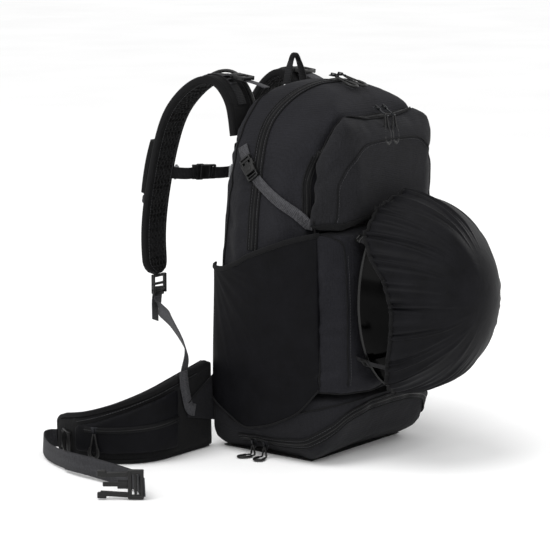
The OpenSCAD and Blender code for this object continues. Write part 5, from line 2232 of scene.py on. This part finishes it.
        panel = grid(f"wing_panel_{side.word}", 24, 20, place)
        tidy_mesh(panel, cap=False)
        modify(panel, "SOLIDIFY", thickness=3.2 * MM, offset=0.0)
        modify(panel, "BEVEL", width=0.9 * MM, segments=2)
        smooth(panel, WEBBING_EDGE)
        fit(panel, "pack", "base_cloth", Finish.LOWER, stands_for=["lower_wings"])
        tail = curve_through([mm(s * 160, 88, 60), mm(s * 172, 88.2, 66), mm(s * 178, 89.5, 88),
                              mm(s * 180.5, 90.2, 106), mm(s * 181, 90.5, 118)], 4 * MM)
        web = sweep(f"wing_web_{side.word}", tail, Vector((0, -1, 0)), NARROW_WEB)
        smooth(web, WEBBING_EDGE)
        fit(web, "pack", "webbing", Finish.WEBBING)
        rim = [place(k / 20, 1.0) - Vector((0, 2 * MM, 0)) for k in range(21)]
        cord = sweep(f"wing_cord_{side.word}", rim, Vector((0, -1, 0)), round_section(1.3 * MM, 8))
        fit(cord, "pack", "base_cloth", Finish.LINING)

    @staticmethod
    def stand(obj: bpy.types.Object, x: float, y: float, degrees: float) -> bpy.types.Object:
        """Moves a buckle half from its own frame, along +X and standing on its edge, to its place."""
        obj.data.transform(Matrix.Translation(mm(x, y, 0)) @ Matrix.Rotation(math.radians(degrees), 4, "Z"))
        return obj

    @staticmethod
    def bar_frame() -> list[bpy.types.Object]:
        """The web bars that both buckle halves end in.

        Returns:
            The bars.
        """
        return boxes(((0, -3.6, 0.6), (20, 3.6, 6), 1.4, 3), ((0, -3.6, 34), (20, 3.6, 39.4), 1.4, 3),
                     ((0, -3.4, 1), (4.6, 3.4, 39), 1.4, 3), ((9, -2.4, 2), (12.4, 2.4, 38), 1.0, 2),
                     ((15.4, -3.9, 1), (20.5, 3.9, 39), 1.3, 3))

    def male(self) -> None:
        """Makes the buckle half with the two sprung prongs and the guide tongue."""
        parts = self.bar_frame()
        for low, high, flip in ((3.0, 9.6, 1), (30.4, 37.0, -1)):
            arm = rounded_box((19, -2.6, low), (56, 2.6, high), 1.3, 3)
            for vertex in arm.data.vertices:
                along = (vertex.co.x / MM - 19) / 37
                bow = math.sin(math.pi * min(1.0, along * 1.1)) * 1.8
                vertex.co.z -= flip * (bow - 2.0 * along ** 3) * MM
            parts.append(arm)
            bottom, top = (low - 1.6, high) if flip > 0 else (low, high + 1.6)
            parts.append(rounded_box((48, -2.9, bottom), (60, 2.9, top), 1.5, 3))
        parts += boxes(((19, -1.8, 17), (53, 1.8, 23), 1.2, 3), ((20, -1.2, 14), (34, 1.2, 26), 0.8, 2))
        buckle = self.stand(join("buckle_prongs", parts), -390.4, -18.7, 127)
        smooth(buckle, MOULDED_EDGE)
        fit(buckle, "left_buckle", "trim", Finish.ACETAL, stands_for=["buckle_male"])

    def female(self) -> None:
        """Makes the buckle half with the socket and its side windows."""
        parts = self.bar_frame() + boxes(
            ((20, -6, 0), (64, -4, 40), 0.9, 3), ((20, 4, 0), (64, 6, 40), 0.9, 3),
            ((20, -6, 0), (34, 6, 3), 1.0, 3), ((20, -6, 37), (34, 6, 40), 1.0, 3),
            ((54, -6, 0), (64, 6, 3), 1.0, 3), ((54, -6, 37), (64, 6, 40), 1.0, 3),
            ((19, -5, 1), (23, 5, 39), 0.9, 2), ((28, -6.6, 12), (54, -5.6, 28), 0.4, 2))
        buckle = self.stand(join("buckle_socket", parts), 326, 159.5, -90)
        smooth(buckle, MOULDED_EDGE)
        fit(buckle, "right_buckle", "trim", Finish.ACETAL, stands_for=["buckle_female"])


# ---------- zip sliders and their pulls ----------
@dataclass
class ZipSliders:
    """Every zip slider, with its bail, and its cord pull with a moulded end."""

    main_at: Point = (8.0, -35.0, 519.2)
    main_pivot: Point = (10.0, -42.3, 517.0)
    front_at: Point = (8.0, -108.9, 478.6)
    front_pivot: Point = (9.0, -124.1, 470.4)
    lid_slope: float = 18.3
    lip_slope: float = 28.5

    def build(self) -> None:
        """Makes the sliders of each zip."""
        for side in Side:
            s = side.value
            x, y, z = self.main_at
            self.slider(f"main_slider_{side.word}", mm(s * x, y, z), self.leaning(7), Vector((0, -0.12, 1)),
                        f"main_slider_{side.word}_body")
            x, y, z = self.main_pivot
            self.pull(f"main_pull_{side.word}", mm(s * x, y, z), self.leaning(self.lid_slope),
                      f"main_pull_{side.word}_body", 35)
            x, y, z = self.front_at
            way = self.leaning(self.lip_slope)
            self.slider(f"front_slider_{side.word}", mm(s * x, y, z), way, Vector((0, way.z, -way.y)),
                        f"front_slider_{side.word}_body", tongue=12)
            x, y, z = self.front_pivot
            self.pull(f"front_pull_{side.word}", mm(s * x, y, z), self.leaning(84),
                      f"front_pull_{side.word}_body", 39)
            self.fin(side)
        for word in ("left", "right"):
            self.base(word)

    @staticmethod
    def leaning(degrees: float) -> Vector:
        """The direction outwards from the pack that falls by an angle."""
        a = math.radians(degrees)
        return Vector((0, -math.cos(a), -math.sin(a)))

    @staticmethod
    def metal(tongue: float) -> list[bpy.types.Object]:
        """The slider's two plates, its bridge, its bail and its tongue, along +Y and up +Z.

        Args:
            tongue: How far the tongue is lengthened, in millimetres.

        Returns:
            The parts, not yet joined.
        """
        parts = boxes(
            ((-5.2, -4.4, -1.2), (5.2, 4.4, 0.1), 0.7, 3), ((-4.2, -3.6, 0.1), (4.2, 3.6, 1.0), 0.6, 2),
            ((-1.4, -4.0, 0.8), (1.4, -2.2, 2.6), 0.5, 2), ((-1.4, 2.2, 0.8), (1.4, 4.0, 2.6), 0.5, 2),
            ((-1.3, -4.0, 2.0), (1.3, 4.0, 3.0), 0.5, 2),
            ((-1.5, 3.4, -0.6), (1.5, 4.6 + tongue, 0.9), 0.6, 2))
        ring = [mm(2.6 * math.cos(a), 5.4 + tongue + 2.6 * math.sin(a), 0.1)
                for a in (2 * math.pi * k / 16 for k in range(16))]
        parts.append(sweep("ring", ring, Vector((0, 0, 1)), round_section(0.7 * MM, 8), closed=True))
        return parts

    def slider(self, node: str, at: Vector, way: Vector, up: Vector, body: str, tongue: float = 1.0) -> None:
        """Makes one bare slider.

        Args:
            node: The CAD node that it stands for.
            at: Its place, in metres.
            way: The direction of its tongue.
            up: The direction off the tape.
            body: The body that it moves with.
            tongue: How far the tongue is lengthened, in millimetres.
        """
        obj = join(node + "_metal", self.metal(tongue))
        smooth(obj, MOULDED_EDGE)
        placed(obj, at, way, up)
        fit(obj, body, "slider_metal", Finish.SLIDER, stands_for=[node])

    @staticmethod
    def loop(length: float) -> list[bpy.types.Object]:
        """A cord loop along +Y with a thick moulded end.

        Args:
            length: The loop's length, in millimetres.

        Returns:
            The cord and its end, not yet joined.
        """
        half = [(0.7, -2.0), (1.9, 2.0), (2.9, 0.25 * length), (4.3, 0.45 * length), (5.9, 0.62 * length),
                (6.4, 0.78 * length), (4.9, 0.92 * length), (0.0, length)]
        flat = half + [(-x, y) for x, y in reversed(half[:-1])]
        path = curve_through([mm(x, y, 0) for x, y in flat], 1.4 * MM)
        cord = sweep("cord", path, Vector((0, 0, 1)), round_section(1.3 * MM, 8))
        grip_path = [p for p in path if p.y > 0.52 * length * MM]
        n = len(grip_path) - 1
        fat = [0.72 + 0.28 * max(0.0, math.sin(math.pi * i / n)) ** 0.4 for i in range(n + 1)]
        grip = sweep("grip", grip_path, Vector((0, 0, 1)),
                     flat_section(4.8 * MM, 3.4 * MM, 0.5, 4), scales=fat)
        return [cord, grip]

    def pull(self, node: str, at: Vector, way: Vector, body: str, length: float) -> None:
        """Makes one cord pull that swings by itself.

        Args:
            node: The CAD node that it stands for.
            at: Where it hangs from, in metres.
            way: The direction that it points in.
            body: The body that it moves with.
            length: Its length, in millimetres.
        """
        obj = join(node + "_cord", self.loop(length))
        smooth(obj, CLOTH_EDGE)
        placed(obj, at, way, Vector((0, way.z, -way.y)))
        fit(obj, body, "trim", Finish.ACETAL, stands_for=[node])

    def fin(self, side: Side) -> None:
        """Makes the slider of a fin's pocket with its hanging pull.

        Args:
            side: The wearer's side.
        """
        a = math.radians(-16)
        out = Vector((side.value * math.cos(a), math.sin(a), 0))
        bend_x, bend_y = HipBelt.bend
        reach = HipBelt.radius + 17.6  # from the bend's centre to the zip on the pouch's face
        at = mm(side.value * (bend_x + reach * math.cos(a)), bend_y + reach * math.sin(a), 48)
        along = Vector((side.value * math.sin(a), -math.cos(a), 0))
        node = f"fin_slider_{side.word}"
        self.slider(node, at, Vector((0, 0, -1)), out, node + "_body", 0.5)
        cord = join(node + "_cord", self.loop(32))
        smooth(cord, CLOTH_EDGE)
        placed(cord, at + Vector((0, 0, -6.5 * MM)) + out * 1.2 * MM + along * 0.5 * MM,
               Vector((0, 0, -1)) + out * 0.06, out)
        fit(cord, node + "_body", "trim", Finish.ACETAL)

    def base(self, word: str) -> None:
        """Makes a slider of the base zip, whose pull hangs down and lies on the floor.

        Args:
            word: The slider's side, as its node's name ends.
        """
        node = f"base_slider_{word}"
        at = mm(-125.3, 12 if word == "left" else -8, 19.5)
        out = Vector((-0.94, 0, -0.34)).normalized()
        self.slider(node, at, Vector((0.34, 0, -0.94)), out, node + "_body", 0.5)
        cord = join(node + "_cord", self.loop(34))
        hang = 11.5  # the length that hangs before the cord turns outwards over the floor
        lie = 5.5 if word == "left" else -3.5  # how far its end lies to the side
        top = at / MM + Vector((-1.5, 0, -6))
        for vertex in cord.data.vertices:
            x, y, z = vertex.co / MM
            if y < hang:
                turned_to = Vector((top.x - z, top.y + x, top.z - y))
            else:
                run = y - hang
                turned_to = Vector((top.x - run, top.y + x + lie * run / 24,
                                    max(1.9, top.z - hang - 0.12 * run) + z * 0.9))
            vertex.co = turned_to * MM
        smooth(cord, CLOTH_EDGE)
        tidy_mesh(cord, cap=False, merge=1e-7)
        fit(cord, node + "_body", "trim", Finish.ACETAL)


def dress_inner_nodes() -> None:
    """Gives the rigid CAD nodes that stay their own finishes."""
    for name, finish in INNER_FINISHES.items():
        WARDROBE.dress(frame["nodes"][name], finish)


INNER_FINISHES = {
    "base_patch": Finish.LINING, "frame_sheet": Finish.SHEET, "frame_stays": Finish.ALLOY,
    "airbag_folded": Finish.AIRBAG, "gas_cylinder": Finish.ALLOY, "inflator_head": Finish.ACETAL,
    "cylinder_bracket": Finish.ACETAL, "trigger_cable_pack": Finish.ACETAL,
    "helmet_liner": Finish.FOAM}


def main() -> None:
    """Builds the studio and every sub-assembly."""
    logging.basicConfig(level=logging.INFO, format="%(message)s")
    Studio().build()
    shells = PackBody().build()
    BodyTrims().build(shells)
    skin = Skin(shells["main"], shells["base"], shells["stash"])
    for side in Side:
        SidePocket(side).build(skin)
    HelmetCarrier().build()
    ShoulderHarness().build()
    HaulLoop().build()
    HipBelt().build()
    ZipSliders().build()
    dress_inner_nodes()
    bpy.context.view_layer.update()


if __name__ == "__main__":
    main()
